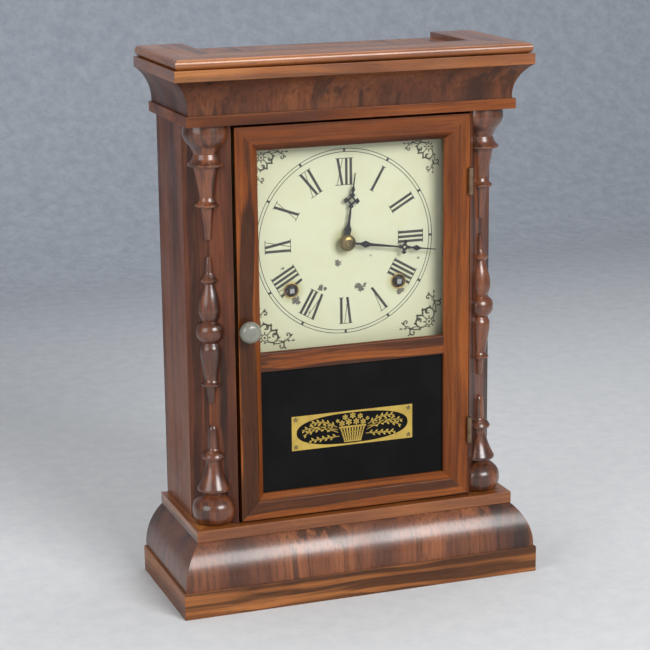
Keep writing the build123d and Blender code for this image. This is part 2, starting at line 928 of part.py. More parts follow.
def spring_line(offset):
    """The strip's centre line, one chord per step, moved outwards by offset."""
    count = spring_turns * spring_steps
    gain = (spring_outer_radius - spring_inner_radius - spring_strip) / count
    points = []
    for step in range(count + 1):
        radius = spring_inner_radius + spring_strip / 2 + gain * step + offset
        points.append(toward((0, 0), radius, 360.0 * step / spring_steps))
    return points


def mainspring(place, right):
    outline = spring_line(spring_strip / 2) + list(reversed(spring_line(-spring_strip / 2)))
    strip = deepened(polygon(outline), spring_front, spring_front + spring_width)
    if not right:
        strip = mirrored(strip)
    return Pos(place[0], 0, place[1]) * strip


def wound_arbor(place, right):
    return group([winding_arbor(place), mainspring(place, right)])


def wheel_and_pinion(place, driver, mate, wheel_sizes, pinion_sizes, wheel_at, pinion_at, **kind):
    """An arbor with the pinion that driver turns and the wheel that turns mate."""
    teeth, module = wheel_sizes
    leaves, leaf_module = pinion_sizes
    pieces = [arbor(place, **kind)]
    pieces.append(wheel(place, teeth, module, angle_between(place, mate), wheel_at))
    phase = gap_phase(leaves, angle_between(place, driver))
    pieces.append(pinion(place, leaves, leaf_module, phase, pinion_depth(pinion_at)))
    return as_one(pieces)


def second_wheel():
    sizes = (second_wheel_teeth, second_wheel_module)
    leaves = (great_pinion_leaves, great_wheel_module)
    return wheel_and_pinion(
        second_at, going_great_at, centre, sizes, leaves, second_wheel_depth, great_wheel_depth
    )


def centre_wheel():
    """Carried friction-tight on the centre arbor, so that the hands can be set."""
    phase = gap_phase(second_pinion_leaves, angle_between(centre, second_at))
    leaves = pinion(
        centre, second_pinion_leaves, second_wheel_module, phase, pinion_depth(second_wheel_depth)
    )
    pipe_front = centre_wheel_depth - 1.0
    pipe = rod(centre, hub_disc_radius, pipe_front, second_wheel_depth)
    face = wheel(
        centre, centre_wheel_teeth, centre_wheel_module, angle_between(centre, third_at), centre_wheel_depth
    )
    bore = bearing(centre, centre_arbor_radius)
    return as_one([face, pipe, leaves]) - bore


def third_wheel():
    sizes = (third_wheel_teeth, third_wheel_module)
    leaves = (centre_pinion_leaves, centre_wheel_module)
    return wheel_and_pinion(
        third_at, centre, escape_at, sizes, leaves, third_wheel_depth, centre_wheel_depth
    )


def escape_outline():
    """Saw teeth that lean the way the wheel turns."""
    points = []
    pitch = 360.0 / escape_teeth
    for tooth in range(escape_teeth):
        points.append(toward((0, 0), escape_radius - 1.9, tooth * pitch))
        points.append(toward((0, 0), escape_radius, tooth * pitch + 0.12 * pitch))
    return polygon(points)


def escape_wheel():
    face = escape_outline()
    for window in spoke_windows(escape_radius - 3.6, 3.6, arms=3, spoke=2.0):
        face = face - window
    crown = deepened(Pos(*escape_at) * face, escape_wheel_depth, escape_wheel_depth + escape_thickness)
    phase = gap_phase(third_pinion_leaves, angle_between(escape_at, third_at))
    leaves = pinion(
        escape_at, third_pinion_leaves, third_wheel_module, phase, pinion_depth(third_wheel_depth)
    )
    shaft = arbor(escape_at, y0=escape_bridge_front, y1=back_plate_back)
    return as_one([crown, leaves, shaft])


def strike_second_wheel():
    sizes = (strike_second_teeth, strike_second_module)
    leaves = (great_pinion_leaves, great_wheel_module)
    solid = wheel_and_pinion(
        strike_second_at, strike_great_at, locking_at, sizes, leaves, strike_second_depth, great_wheel_depth
    )
    pins = []
    for pin in range(lifting_pins):
        place = toward(strike_second_at, lifting_pin_circle, 360.0 * pin / lifting_pins)
        y0 = strike_second_depth - lifting_pin_length
        pins.append(deepened(Pos(*place) * Rectangle(1.2, 1.2), y0, strike_second_depth))
    return as_one([solid, *pins])


def locking_wheel():
    sizes = (locking_wheel_teeth, locking_wheel_module)
    leaves = (strike_second_leaves, strike_second_module)
    return wheel_and_pinion(
        locking_at, strike_second_at, fly_at, sizes, leaves, locking_wheel_depth, strike_second_depth
    )


def fly():
    vane = deepened(Pos(*fly_at) * Rectangle(2 * fly_reach, 0.6), fly_depth, fly_depth + fly_length)
    phase = gap_phase(locking_pinion_leaves, angle_between(fly_at, locking_at))
    leaves = pinion(
        fly_at, locking_pinion_leaves, locking_wheel_module, phase, pinion_depth(locking_wheel_depth)
    )
    return as_one([arbor(fly_at), vane, leaves])


# Motion work before the front plate
def centre_arbor():
    back = minute_hand_front + hand_thickness
    shaft = arbor(centre, centre_arbor_radius, back, back_plate_back)
    depth = minute_wheel_depth
    cannon_pipe = arbor(centre, hour_pipe_bore - arbor_clearance, hour_hand_front, depth)
    phase = angle_between(centre, minute_wheel_at)
    leaves = pinion(centre, cannon_teeth, cannon_module, phase, depth, motion_thickness)
    return as_one([shaft, cannon_pipe, leaves])


def minute_wheel():
    backwards = angle_between(minute_wheel_at, centre)
    face = wheel(
        minute_wheel_at, minute_wheel_teeth, cannon_module, gap_phase(minute_wheel_teeth, backwards),
        minute_wheel_depth, thickness=motion_thickness, cut=False,
    )
    length = minute_wheel_depth - hour_wheel_depth
    phase = gap_phase(minute_pinion_teeth, backwards)
    leaves = pinion(minute_wheel_at, minute_pinion_teeth, hour_module, phase, hour_wheel_depth, length)
    return face + leaves - bearing(minute_wheel_at, y0=hour_wheel_depth)


def hour_wheel():
    face = wheel(
        centre, hour_wheel_teeth, hour_module, angle_between(centre, minute_wheel_at), hour_wheel_depth,
        thickness=motion_thickness, cut=False,
    )
    pipe = round_bar(centre, hour_pipe_radius, hour_hand_front, hour_wheel_depth + motion_thickness)
    bore = round_bar(centre, hour_pipe_bore, hour_hand_front, hour_wheel_depth + motion_thickness)
    return face + pipe - bore


# Movement frame
def plate_outline(foot_bevel=10.0, head_bevel=16.0):
    half = plate_width / 2
    points = [(-half, plate_foot + foot_bevel), (-half + foot_bevel, plate_foot)]
    points += [(half - foot_bevel, plate_foot), (half, plate_foot + foot_bevel)]
    points += [(half, plate_head - head_bevel), (half - head_bevel, plate_head)]
    points += [(-half + head_bevel, plate_head), (-half, plate_head - head_bevel)]
    return points


def plate_windows():
    """Openings that lighten the plates where no arbor runs."""
    middle = centre[1]
    low = [(-16, plate_foot + 12), (16, plate_foot + 12), (10, middle - 30), (-10, middle - 30)]
    right = [(38, middle + 14), (52, middle + 14), (52, middle + 44), (34, middle + 44)]
    return [low, right]


def arbor_places():
    bushed = [second_at, third_at, escape_at, strike_second_at, locking_at, fly_at, hammer_at]
    return [(place, arbor_radius + arbor_clearance) for place in bushed] + [
        (centre, centre_arbor_radius + arbor_clearance),
        (going_great_at, winding_arbor_radius + arbor_clearance),
        (strike_great_at, winding_arbor_radius + arbor_clearance),
    ]


def movement_plate(y0, hole):
    face = polygon(plate_outline())
    for window in plate_windows():
        face = face - polygon(window)
    for place, radius in arbor_places():
        face = face - Pos(*place) * hole(radius)
    return deepened(face, y0, y0 + plate_thickness)


def flat_sided_hole(radius):
    return RegularPolygon(radius / cos(pi / hole_sides), hole_sides)


def pillar_places():
    half = plate_width / 2 - pillar_inset
    foot = plate_foot + pillar_inset + 1.0
    head = plate_head - 3 * pillar_inset
    return [(-half, foot), (half, foot), (-half, head), (half, head)]


def movement_pillars():
    """The pillars between the plates, their nuts, and the feet that stand the movement off the back."""
    pieces = []
    for place in pillar_places():
        nut = Pos(*place) * RegularPolygon(nut_radius, 6)
        pieces.append(rod(place, pillar_radius, front_plate_back, back_plate_front))
        pieces.append(deepened(nut, front_plate_front - nut_height, front_plate_front))
        pieces.append(deepened(Pos(*place) * Rectangle(foot_size, foot_size), back_plate_back, back_front))
    return group(pieces)


def movement_cocks():
    """The escape wheel's bridge, the verge stud, the suspension post and the minute wheel's stud."""
    x, z = escape_at
    low = z - escape_bridge_height / 2
    high = z + escape_bridge_height / 2
    back = escape_bridge_front + escape_bridge_thickness
    strap = block(x - escape_bridge_half, x + escape_bridge_half, escape_bridge_front, back, low, high)
    strap = strap - round_bar(escape_at, arbor_radius + arbor_clearance, escape_bridge_front, back)
    for sign in (-1, 1):
        edge = x + sign * escape_bridge_half
        inner = edge - sign * 2.0
        strap = strap + block(min(edge, inner), max(edge, inner), back, front_plate_front, low, high)
    stud = rod(verge_at, verge_stud_radius, verge_front - 0.6, front_plate_front)
    keeper = rod(verge_at, verge_stud_radius + 0.7, verge_front - 0.9, verge_front - 0.3)
    post_foot = suspension_at[1] + 0.6
    post = block(x - 2.6, x + 2.6, rod_depth - 2.5, front_plate_front, post_foot, post_foot + 5.2)
    minute_stud = rod(minute_wheel_at, arbor_radius, hour_wheel_depth, front_plate_front)
    return group([strap, stud + keeper, post, minute_stud])


# Escapement: the pallets stand clear of the wheel over the whole swing
def verge_half():
    """The right arm of the bent strip, from the saddle to the pallet's tip."""
    tip_radius = escape_radius + pallet_clearance
    tip = toward((0, -verge_above_escape), tip_radius, 48)
    back_of_tip = toward((0, -verge_above_escape), tip_radius + 1.4, 42)
    shoulder = (tip[0] + 1.0, tip[1] + 3.6)
    return [(0, 2.6), (2.6, 2.4), shoulder, back_of_tip, tip, (tip[0] - 1.0, tip[1] + 2.0), (2.2, 0.0)]


def verge():
    arm = polygon([(0, 0), *verge_half()])
    strip = arm + mirror(arm, about=Plane.YZ)
    saddle = Circle(2.4)
    face = Pos(*verge_at) * (strip + saddle) - Pos(*verge_at) * Circle(verge_stud_radius + arbor_clearance)
    strip = deepened(face, verge_front, verge_back)
    x = verge_at[0]
    wire = 0.5
    top = verge_at[1] - 2.0
    low = crutch_level
    crutch_y = 26.2
    upper = block(x - wire, x + wire, crutch_y - wire, verge_front + 0.5, top - 1.0, top)
    down = block(x - wire, x + wire, crutch_y - wire, crutch_y + wire, low - wire, top)
    gap = rod_radius + 0.3
    fork_front = rod_depth - 1.2
    left = block(x - gap - 2 * wire, x - gap, fork_front, crutch_y + wire, low - wire, low + wire)
    right = block(x + gap, x + gap + 2 * wire, fork_front, crutch_y + wire, low - wire, low + wire)
    tie = block(x - gap, x + gap, crutch_y - wire, crutch_y + wire, low - wire, low + wire)
    return as_one([strip, upper, down, left, right, tie])


def pendulum():
    x, top = suspension_at
    bob_z = top - bob_drop
    strip = block(x - 1.5, x + 1.5, rod_depth - 0.2, rod_depth + 0.2, top - 9.0, top + 0.2)
    rod_foot = bob_z + bob_radius + 5.0
    rod = raised(Pos(x, rod_depth) * RegularPolygon(rod_radius, 8), rod_foot, top - 8.0)
    hook_z = bob_z + bob_radius
    hook = block(x - 1.4, x + 1.4, rod_depth - 1.0, rod_depth + 1.0, hook_z - 0.5, hook_z + 6.0)
    half = bob_thickness / 2
    edge = bob_radius
    sections = [(edge - 2 * bob_chamfer, -half), (edge, -half + bob_chamfer)]
    sections += [(edge, half - bob_chamfer), (edge - bob_chamfer, half)]
    bob = Pos(0, rod_depth, 0) * faceted_along_y((x, bob_z), sections, sides=28)
    return group([as_one([strip, rod, hook]), bob - hook])


# Gong and hammer
def gong_base():
    foot = deepened(Pos(*gong_at) * RegularPolygon(gong_base_radius, 24), back_front - 4.0, back_front)
    post = deepened(Pos(*gong_at) * Rectangle(2 * gong_block_half, 9), gong_coil_depth - 2, back_front - 4.0)
    return foot + post


def gong_line(offset):
    """The wire's centre line as a spiral of short chords, moved outwards by offset."""
    points = []
    for step in range(gong_turns * gong_steps + 1):
        radius = gong_inner_radius + gong_pitch * step / gong_steps + offset
        points.append(toward(gong_at, radius, 360.0 * step / gong_steps))
    return points


def gong_coil():
    """One length of flattened wire, wound outwards, its inner end led into the base."""
    half = gong_wire_width / 2
    ribbon = polygon(gong_line(half) + list(reversed(gong_line(-half))))
    reach = gong_inner_radius + half
    lead = Pos(*gong_at) * polygon([(gong_block_half, -3), (reach, -3), (reach, 0), (gong_block_half, 0)])
    return deepened(ribbon + lead, gong_coil_depth, gong_coil_depth + gong_wire_depth)


def gong_outer_reach():
    """How far the last turn's outside stands to the left of the gong's middle."""
    return gong_inner_radius + gong_pitch * (gong_turns - 0.5) + gong_wire_width / 2


def hammer():
    x, z = hammer_at
    head_z = gong_at[1] + 6.0
    head_right = gong_at[0] - gong_outer_reach() - hammer_gap
    head_left = head_right - hammer_head_length
    head_y = gong_coil_depth + gong_wire_depth / 2
    shaft = arbor(hammer_at, y1=hammer_depth + 1.6)
    wire_x = (head_left + head_right) / 2
    arm = block(x - 1.6, x + 1.6, hammer_depth - 1.4, hammer_depth + 1.4, z - 6.0, z + 2.5)
    lean = degrees(atan2(x - wire_x, z - 5.0 - head_z))
    length = hypot(wire_x - x, z - 5.0 - head_z)
    wire = Cylinder(hammer_wire_radius, length + 2.0)
    wire = Pos((wire_x + x) / 2, hammer_depth, (head_z + z - 5.0) / 2) * Rot(0, lean, 0) * wire
    bend = block(wire_x - 1.0, wire_x + 1.0, hammer_depth - 0.9, head_y, head_z - 1.0, head_z + 1.0)
    end = Plane.YZ.offset(head_left) * Pos(head_y, head_z) * RegularPolygon(hammer_head_radius, 16)
    head = extrude(end, hammer_head_length)
    tail_top = strike_second_at[1] - lifting_pin_circle - 1.0 - lifting_tail_gap
    tail = block(x - 1.0, x + 1.0, lifting_tail_depth, lifting_tail_depth + 1.4, z, tail_top)
    return as_one([shaft, arm, wire, bend, head, tail])


def write(name, shape):
    """Moves a piece from the layout to the frame and writes it."""
    placed = Pos(0, front_shift, 0) * shape
    placed.label = name
    export_step(placed, f"parts/{name}.step")


nodes = {
    "plinth": plinth,
    "cushion_front": cushion_front,
    "cushion_sides": cushion_sides,
    "base_rails": base_rails,
    "shelf_board": shelf_board,
    "side_left": lambda: side(False),
    "side_right": lambda: side(True),
    "post_left": lambda: post(False),
    "post_right": lambda: post(True),
    "backboard": backboard,
    "top_board": top_board,
    "cove_front": cove_front,
    "cove_sides": cove_sides,
    "cornice_core": cornice_core,
    "crown_strips": crown_strips,
    "cap_front": cap_front,
    "cap_sides": cap_sides,
    "top_panel": top_panel,
    "lower_turnings": lower_turnings,
    "middle_turnings": middle_turnings,
    "upper_turnings": upper_turnings,
    "dial": dial,
    "dial_cleats": dial_cleats,
    "dial_eyelets": dial_eyelets,
    "hinge_leaves_case": hinge_leaves_case,
    "gong_base": gong_base,
    "gong_coil": gong_coil,
    "movement_front_plate": lambda: movement_plate(front_plate_front, Circle),
    "movement_back_plate": lambda: movement_plate(back_plate_front, flat_sided_hole),
    "movement_pillars": movement_pillars,
    "movement_cocks": movement_cocks,
    "door_stile_latch": lambda: door_stile(False),
    "door_stile_hinge": lambda: door_stile(True),
    "door_rail_top": lambda: door_rail(True),
    "door_rail_bottom": lambda: door_rail(False),
    "door_rail_middle": door_middle_rail,
    "dial_glass": dial_glass,
    "tablet_glass": tablet_glass,
    "hinge_leaves_door": hinge_leaves_door,
    "door_knob": door_knob,
    "door_latch": door_latch,
    "minute_hand": minute_hand,
    "centre_arbor": centre_arbor,
    "hour_hand": hour_hand,
    "hour_wheel": hour_wheel,
    "minute_wheel": minute_wheel,
    "going_great_wheel": lambda: great_wheel(going_great_at, second_at),
    "going_winding_arbor": lambda: wound_arbor(going_great_at, True),
    "second_wheel": second_wheel,
    "centre_wheel": centre_wheel,
    "third_wheel": third_wheel,
    "escape_wheel": escape_wheel,
    "verge": verge,
    "pendulum": pendulum,
    "strike_great_wheel": lambda: great_wheel(strike_great_at, strike_second_at),
    "strike_winding_arbor": lambda: wound_arbor(strike_great_at, False),
    "strike_second_wheel": strike_second_wheel,
    "locking_wheel": locking_wheel,
    "fly": fly,
    "hammer": hammer,
}

os.makedirs("parts", exist_ok=True)
for name, build in nodes.items():
    write(name, build())
print("overall", case_width + 2 * plinth_out, overall_depth, clock_top)
print("gong coil, least gap between turns", round(gong_pitch - gong_wire_width, 2))
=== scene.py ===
import math
import bpy
import numpy as np
from mathutils import Matrix


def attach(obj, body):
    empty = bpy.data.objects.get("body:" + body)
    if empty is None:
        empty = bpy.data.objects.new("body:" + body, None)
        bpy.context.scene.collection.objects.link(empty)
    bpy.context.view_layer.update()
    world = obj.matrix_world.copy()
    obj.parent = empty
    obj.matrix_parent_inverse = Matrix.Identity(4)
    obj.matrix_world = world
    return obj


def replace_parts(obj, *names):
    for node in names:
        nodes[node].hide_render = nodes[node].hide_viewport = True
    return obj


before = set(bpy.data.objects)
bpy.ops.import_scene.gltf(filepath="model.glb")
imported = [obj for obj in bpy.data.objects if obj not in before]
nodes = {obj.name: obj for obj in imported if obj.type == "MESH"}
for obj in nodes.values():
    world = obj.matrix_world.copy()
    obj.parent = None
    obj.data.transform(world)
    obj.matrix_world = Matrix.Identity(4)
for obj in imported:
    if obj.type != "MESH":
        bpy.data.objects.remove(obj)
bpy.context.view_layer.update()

# Places on the clock, in metres: front towards -Y, up along Z
MM = 0.001
FRONT_SHIFT = -39.25            # the door's front plane, from the middle of the footprint, mm
HALF_WIDTH = 0.128              # half the case between its side boards' outsides
DOOR_PLANE = FRONT_SHIFT * MM
SHELF_TOP = 0.0652
CANT_MIDDLE = (0.113, -0.02425)
DIAL_CENTRE = (0.0, 0.2799)
DIAL_PLANE = -0.01925
TABLET_PLANE = -0.03125
KNOB_PLACE = (-0.0882, 0.2212)
WINDING = ((-0.045, 0.2444), (0.045, 0.2444))
HAND_NUT_PLANE = (13.4 + FRONT_SHIFT) * MM
GONG_DEPTH, GONG_HEIGHT = 42.75, 129.9      # the front of the gong's wire and its middle, mm
TABLET_PLACE = (0.00075, 0.13125)
PRINT_LIFT, SCROLL_LIFT, GILT_LIFT, FLORET_LIFT = 0.00006, 0.00005, 0.00005, 0.00010


# ---------------------------------------------------------------- Node helpers
def put(tree, kind, sockets=None, **settings):
    """Adds a node; sockets maps an input to a value, or to an output to be joined to it."""
    node = tree.nodes.new(kind)
    for key, value in settings.items():
        setattr(node, key, value)
    for key, value in (sockets or {}).items():
        if isinstance(value, bpy.types.NodeSocket):
            tree.links.new(value, node.inputs[key])
        else:
            node.inputs[key].default_value = value
    return node


def math_node(tree, operation, first, second=0.0, clamp=False):
    return put(tree, "ShaderNodeMath", {0: first, 1: second}, operation=operation, use_clamp=clamp).outputs[0]


def spread(tree, value, low, high, to_low=0.0, to_high=1.0):
    """Value from low..high to to_low..to_high, clamped and eased."""
    node = put(tree, "ShaderNodeMapRange", {0: value, 1: low, 2: high, 3: to_low, 4: to_high})
    node.interpolation_type = "SMOOTHSTEP"
    return node.outputs[0]


def mixed(tree, factor, first, second, blend="MIX"):
    node = put(tree, "ShaderNodeMix", {0: factor}, data_type="RGBA", blend_type=blend)
    for index, value in ((6, first), (7, second)):
        if isinstance(value, bpy.types.NodeSocket):
            tree.links.new(value, node.inputs[index])
        else:
            node.inputs[index].default_value = value
    return node.outputs[2]


def stretched(tree, vector, scale, turn=(0, 0, 0), shift=(0, 0, 0)):
    return put(tree, "ShaderNodeMapping", {0: vector, 1: shift, 2: turn, 3: scale}).outputs[0]


def cloud(tree, vector, scale=1.0, detail=4.0, rough=0.5, distortion=0.0):
    sockets = {"Vector": vector, "Scale": scale, "Detail": detail, "Roughness": rough, "Distortion": distortion}
    return put(tree, "ShaderNodeTexNoise", sockets).outputs[0]


def colour(red, green, blue):
    """A screen colour out of 255, as linear light."""
    channels = [c / 255 for c in (red, green, blue)]
    linear = [c / 12.92 if c <= 0.04045 else ((c + 0.055) / 1.055) ** 2.4 for c in channels]
    return (*linear, 1.0)


def new_group(name, inputs, outputs):
    """An empty shader group with named inputs (name, socket kind, default) and outputs (name, kind)."""
    group = bpy.data.node_groups.new(name, "ShaderNodeTree")
    for label, kind, default in inputs:
        socket = group.interface.new_socket(name=label, in_out="INPUT", socket_type=kind)
        if default is not None:
            socket.default_value = default
    for label, kind in outputs:
        group.interface.new_socket(name=label, in_out="OUTPUT", socket_type=kind)
    source = group.nodes.new("NodeGroupInput")
    sink = group.nodes.new("NodeGroupOutput")
    return group, source.outputs, sink.inputs


# ---------------------------------------------------------------- Shared effects
def make_grain_group():
    """Veneer figure: the grain runs along the vector's X. Broad bands, clustered dark lines and pores."""
    group, given, made = new_group(
        "veneer_figure",
        [("Vector", "NodeSocketVector", None), ("Light", "NodeSocketColor", (0.3, 0.1, 0.03, 1)),
         ("Middle", "NodeSocketColor", (0.15, 0.05, 0.02, 1)), ("Dark", "NodeSocketColor", (0.03, 0.01, 0.006, 1)),
         ("Bands", "NodeSocketFloat", 22.0), ("Streaks", "NodeSocketFloat", 0.8), ("Sway", "NodeSocketFloat", 0.012)],
        [("Color", "NodeSocketColor"), ("Height", "NodeSocketFloat"), ("Pores", "NodeSocketFloat")])
    loose = stretched(group, given["Vector"], (7, 12, 12))
    drift = put(group, "ShaderNodeTexNoise", {"Vector": loose, "Scale": 1.0, "Detail": 2.0}).outputs[1]
    centred = put(group, "ShaderNodeVectorMath", {0: drift, 1: (0.5, 0.5, 0.5)}, operation="SUBTRACT").outputs[0]
    scaled = put(group, "ShaderNodeVectorMath", {0: centred}, operation="SCALE")
    group.links.new(given["Sway"], scaled.inputs["Scale"])
    place = put(group, "ShaderNodeVectorMath", {0: given["Vector"], 1: scaled.outputs[0]}, operation="ADD").outputs[0]
    bands = cloud(group, stretched(group, place, (0.10, 1, 1)), given["Bands"], 3.0, 0.5, 0.3)
    fine = cloud(group, stretched(group, place, (7, 420, 420)), 1.0, 5.0, 0.6)
    lines = cloud(group, stretched(group, place, (1.6, 95, 95)), 1.0, 3.0, 0.45, 0.4)
    cluster = cloud(group, stretched(group, place, (1.2, 16, 16), shift=(3, 1, 7)), 1.0, 2.0)
    pores = cloud(group, stretched(group, given["Vector"], (110, 1500, 1500)), 1.0, 2.0)
    broad = mixed(group, spread(group, bands, 0.24, 0.52), given["Dark"], given["Middle"])
    broad = mixed(group, spread(group, bands, 0.44, 0.76), broad, given["Light"])
    tint = mixed(group, spread(group, fine, 0.38, 0.72, 0.0, 0.62), broad, given["Dark"])
    mask = math_node(group, "MULTIPLY", spread(group, lines, 0.52, 0.60), spread(group, cluster, 0.38, 0.56))
    mask = math_node(group, "MULTIPLY", mask, given["Streaks"], clamp=True)
    streaked = mixed(group, mask, tint, (0.010, 0.0045, 0.003, 1))
    pits = spread(group, pores, 0.60, 0.72)
    final = mixed(group, math_node(group, "MULTIPLY", pits, 0.45), streaked, (0.012, 0.005, 0.003, 1))
    height = math_node(group, "SUBTRACT", math_node(group, "MULTIPLY", fine, 0.5), pits)
    for label, socket in (("Color", final), ("Height", height), ("Pores", pits)):
        group.links.new(socket, made[label])
    return group


def make_wear_group():
    """Marks of age: soft blotches, fine rubs and small specks, each as a mask."""
    group, given, made = new_group(
        "age_marks", [("Vector", "NodeSocketVector", None), ("Scale", "NodeSocketFloat", 1.0)],
        [("Blotch", "NodeSocketFloat"), ("Rub", "NodeSocketFloat"), ("Speck", "NodeSocketFloat")])
    sized = put(group, "ShaderNodeVectorMath", {0: given["Vector"]}, operation="SCALE")
    group.links.new(given["Scale"], sized.inputs["Scale"])
    where = sized.outputs[0]
    blotch = spread(group, cloud(group, where, 18.0, 4.0, 0.55), 0.35, 0.70)
    rub = spread(group, cloud(group, stretched(group, where, (40, 300, 160)), 1.0, 4.0, 0.6), 0.52, 0.75)
    speck = spread(group, cloud(group, where, 520.0, 2.0, 0.5), 0.70, 0.76)
    for label, socket in (("Blotch", blotch), ("Rub", rub), ("Speck", speck)):
        group.links.new(socket, made[label])
    return group


def make_edge_group():
    """Eased arrises: a normal rounded over a small radius, and a mask that is high along the edges."""
    group, given, made = new_group(
        "eased_edges", [("Radius", "NodeSocketFloat", 0.0008)],
        [("Normal", "NodeSocketVector"), ("Edge", "NodeSocketFloat")])
    eased = put(group, "ShaderNodeBevel", {"Radius": given["Radius"]}, samples=4)
    flat = put(group, "ShaderNodeNewGeometry").outputs["Normal"]
    agree = put(group, "ShaderNodeVectorMath", {0: eased.outputs[0], 1: flat}, operation="DOT_PRODUCT").outputs["Value"]
    group.links.new(eased.outputs[0], made["Normal"])
    group.links.new(spread(group, agree, 0.995, 0.82), made["Edge"])
    return group


def make_mitre_group():
    """The place turned so that the grain runs along each moulding: along X in front, along Y on the sides."""
    group, given, made = new_group(
        "mitred_grain", [("Vector", "NodeSocketVector", None)], [("Vector", "NodeSocketVector")])
    parts = put(group, "ShaderNodeSeparateXYZ", {0: given["Vector"]})
    x, y, z = parts.outputs
    outwards = math_node(group, "SUBTRACT", math_node(group, "ABSOLUTE", x), HALF_WIDTH)
    forwards = math_node(group, "SUBTRACT", math_node(group, "MULTIPLY", y, -1.0), -DOOR_PLANE)
    sideways = math_node(group, "GREATER_THAN", outwards, forwards)
    along_front = put(group, "ShaderNodeCombineXYZ", {0: x, 1: y, 2: z}).outputs[0]
    along_side = put(group, "ShaderNodeCombineXYZ", {0: y, 1: x, 2: z}).outputs[0]
    turned = put(group, "ShaderNodeMix", {0: sideways, 4: along_front, 5: along_side}, data_type="VECTOR")
    group.links.new(turned.outputs[1], made["Vector"])
    return group


GRAIN = make_grain_group()
MARKS = make_wear_group()
EDGES = make_edge_group()
MITRE = make_mitre_group()


# ---------------------------------------------------------------- Finishes
def new_finish(name, **plain):
    """A material with its Principled shader; plain maps an input's name to its uniform value."""
    finish = bpy.data.materials.new(name)
    finish.use_nodes = True
    tree = finish.node_tree
    shader = tree.nodes["Principled BSDF"]
    for label, value in plain.items():
        shader.inputs[label.replace("_", " ")].default_value = value
    place = put(tree, "ShaderNodeTexCoord").outputs["Object"]
    return finish, tree, shader, place


def use(tree, group, sockets):
    """Places a shared effect in a material with its own values, and gives its outputs."""
    return put(tree, "ShaderNodeGroup", sockets, node_tree=group).outputs


def veneer(name, turn, light, middle, dark, bands=22.0, streaks=0.8, sway=0.012, gloss=0.32, coat=0.12,
           shift=(0, 0, 0), mitred=False, edge_radius=0.0008, relief=0.12, shine=0.27):
    """Polished veneer; turn brings the grain's direction onto X before the figure is worked out."""
    finish, tree, shader, place = new_finish(name, Coat_Weight=coat, Coat_Roughness=0.2, Specular_IOR_Level=shine)
    if mitred:
        place = use(tree, MITRE, {"Vector": place})[0]
    along = stretched(tree, place, (1, 1, 1), turn, shift)
    figure = use(tree, GRAIN, {"Vector": along, "Light": light, "Middle": middle, "Dark": dark,
                               "Bands": bands, "Streaks": streaks, "Sway": sway})
    marks = use(tree, MARKS, {"Vector": along, "Scale": 1.0})
    edges = use(tree, EDGES, {"Radius": edge_radius})
    # Worn arrises and painted highlight: the edges are lightened towards a pale gold, more where the blotch mask is
    # high.
    worn = math_node(tree, "MULTIPLY", edges["Edge"], spread(tree, marks["Blotch"], 0.0, 1.0, 0.15, 0.5))
    tone = mixed(tree, worn, figure["Color"], colour(178, 114, 66))
    dull = mixed(tree, math_node(tree, "MULTIPLY", marks["Rub"], 0.06), tone, colour(170, 124, 84))
    tree.links.new(dull, shader.inputs["Base Color"])
    rough = spread(tree, marks["Blotch"], 0.0, 1.0, gloss, gloss + 0.14)
    rough = math_node(tree, "ADD", rough, math_node(tree, "MULTIPLY", figure["Pores"], 0.2))
    tree.links.new(rough, shader.inputs["Roughness"])
    bump = put(tree, "ShaderNodeBump", {"Strength": relief, "Distance": 0.0002, "Height": figure["Height"],
                                        "Normal": edges["Normal"]})
    tree.links.new(bump.outputs[0], shader.inputs["Normal"])
    return finish


UPRIGHT = (0, math.pi / 2, 0)
LEVEL = (0, 0, 0)
WARM = (colour(158, 88, 30), colour(120, 60, 19), colour(66, 30, 11))
DEEP = (colour(146, 86, 50), colour(118, 64, 36), colour(74, 38, 21))
PALE = (colour(182, 118, 56), colour(150, 88, 40), colour(98, 52, 24))

finishes = {
    "stiles": veneer("veneer_stiles", UPRIGHT, *WARM, bands=34, streaks=0.8, shine=0.2),
    "posts": veneer("veneer_posts", UPRIGHT, colour(128, 70, 40), colour(96, 50, 29), colour(52, 26, 17), bands=40,
                    shift=(0.3, 0, 0)),
    "sides": veneer("veneer_sides", UPRIGHT, *DEEP, bands=24, streaks=0.6, sway=0.02, gloss=0.36, shift=(0.7, 0.2, 0)),
    "rails": veneer("veneer_rails", LEVEL, *WARM, bands=38, streaks=0.7, shift=(0.1, 0, 0.05)),
    "lengthwise": veneer("veneer_lengthwise", LEVEL, *PALE, bands=44, streaks=0.6, gloss=0.30, coat=0.6, mitred=True,
                         shine=0.4),
    "plinth": veneer("veneer_plinth", LEVEL, colour(166, 104, 56), colour(132, 78, 40), colour(76, 40, 20), bands=40,
                     streaks=0.7, gloss=0.32, mitred=True, shift=(0.4, 0, 0)),
    "cushion": veneer("veneer_cushion", (0.12, math.pi / 2, 0), colour(140, 82, 48), colour(102, 56, 33),
                      colour(46, 26, 19), bands=24, streaks=0.7, sway=0.02, gloss=0.30, coat=0.45, shift=(0.2, 0.1, 0),
                      shine=0.35),
    "cove": veneer("veneer_cove", (0.10, math.pi / 2, 0), colour(120, 68, 34), colour(92, 48, 24), colour(52, 26, 14),
                   bands=26, streaks=0.6, sway=0.014, gloss=0.34, shift=(0.5, 0.3, 0)),
    "turned": veneer("turned_rosewood", UPRIGHT, colour(134, 76, 44), colour(98, 52, 30), colour(54, 28, 17), bands=70,
                     streaks=0.6, sway=0.006, gloss=0.28, coat=0.75, relief=0.10, shine=0.4),
    "pine": veneer("plain_pine", LEVEL, colour(162, 122, 78), colour(140, 102, 62), colour(104, 70, 42), bands=30,
                   streaks=0.15, gloss=0.6, coat=0.0),
    "pine_upright": veneer("plain_pine_upright", UPRIGHT, colour(156, 116, 74), colour(134, 94, 58), colour(94, 62, 38),
                           bands=22, streaks=0.2, gloss=0.6, coat=0.0, sway=0.02),
}

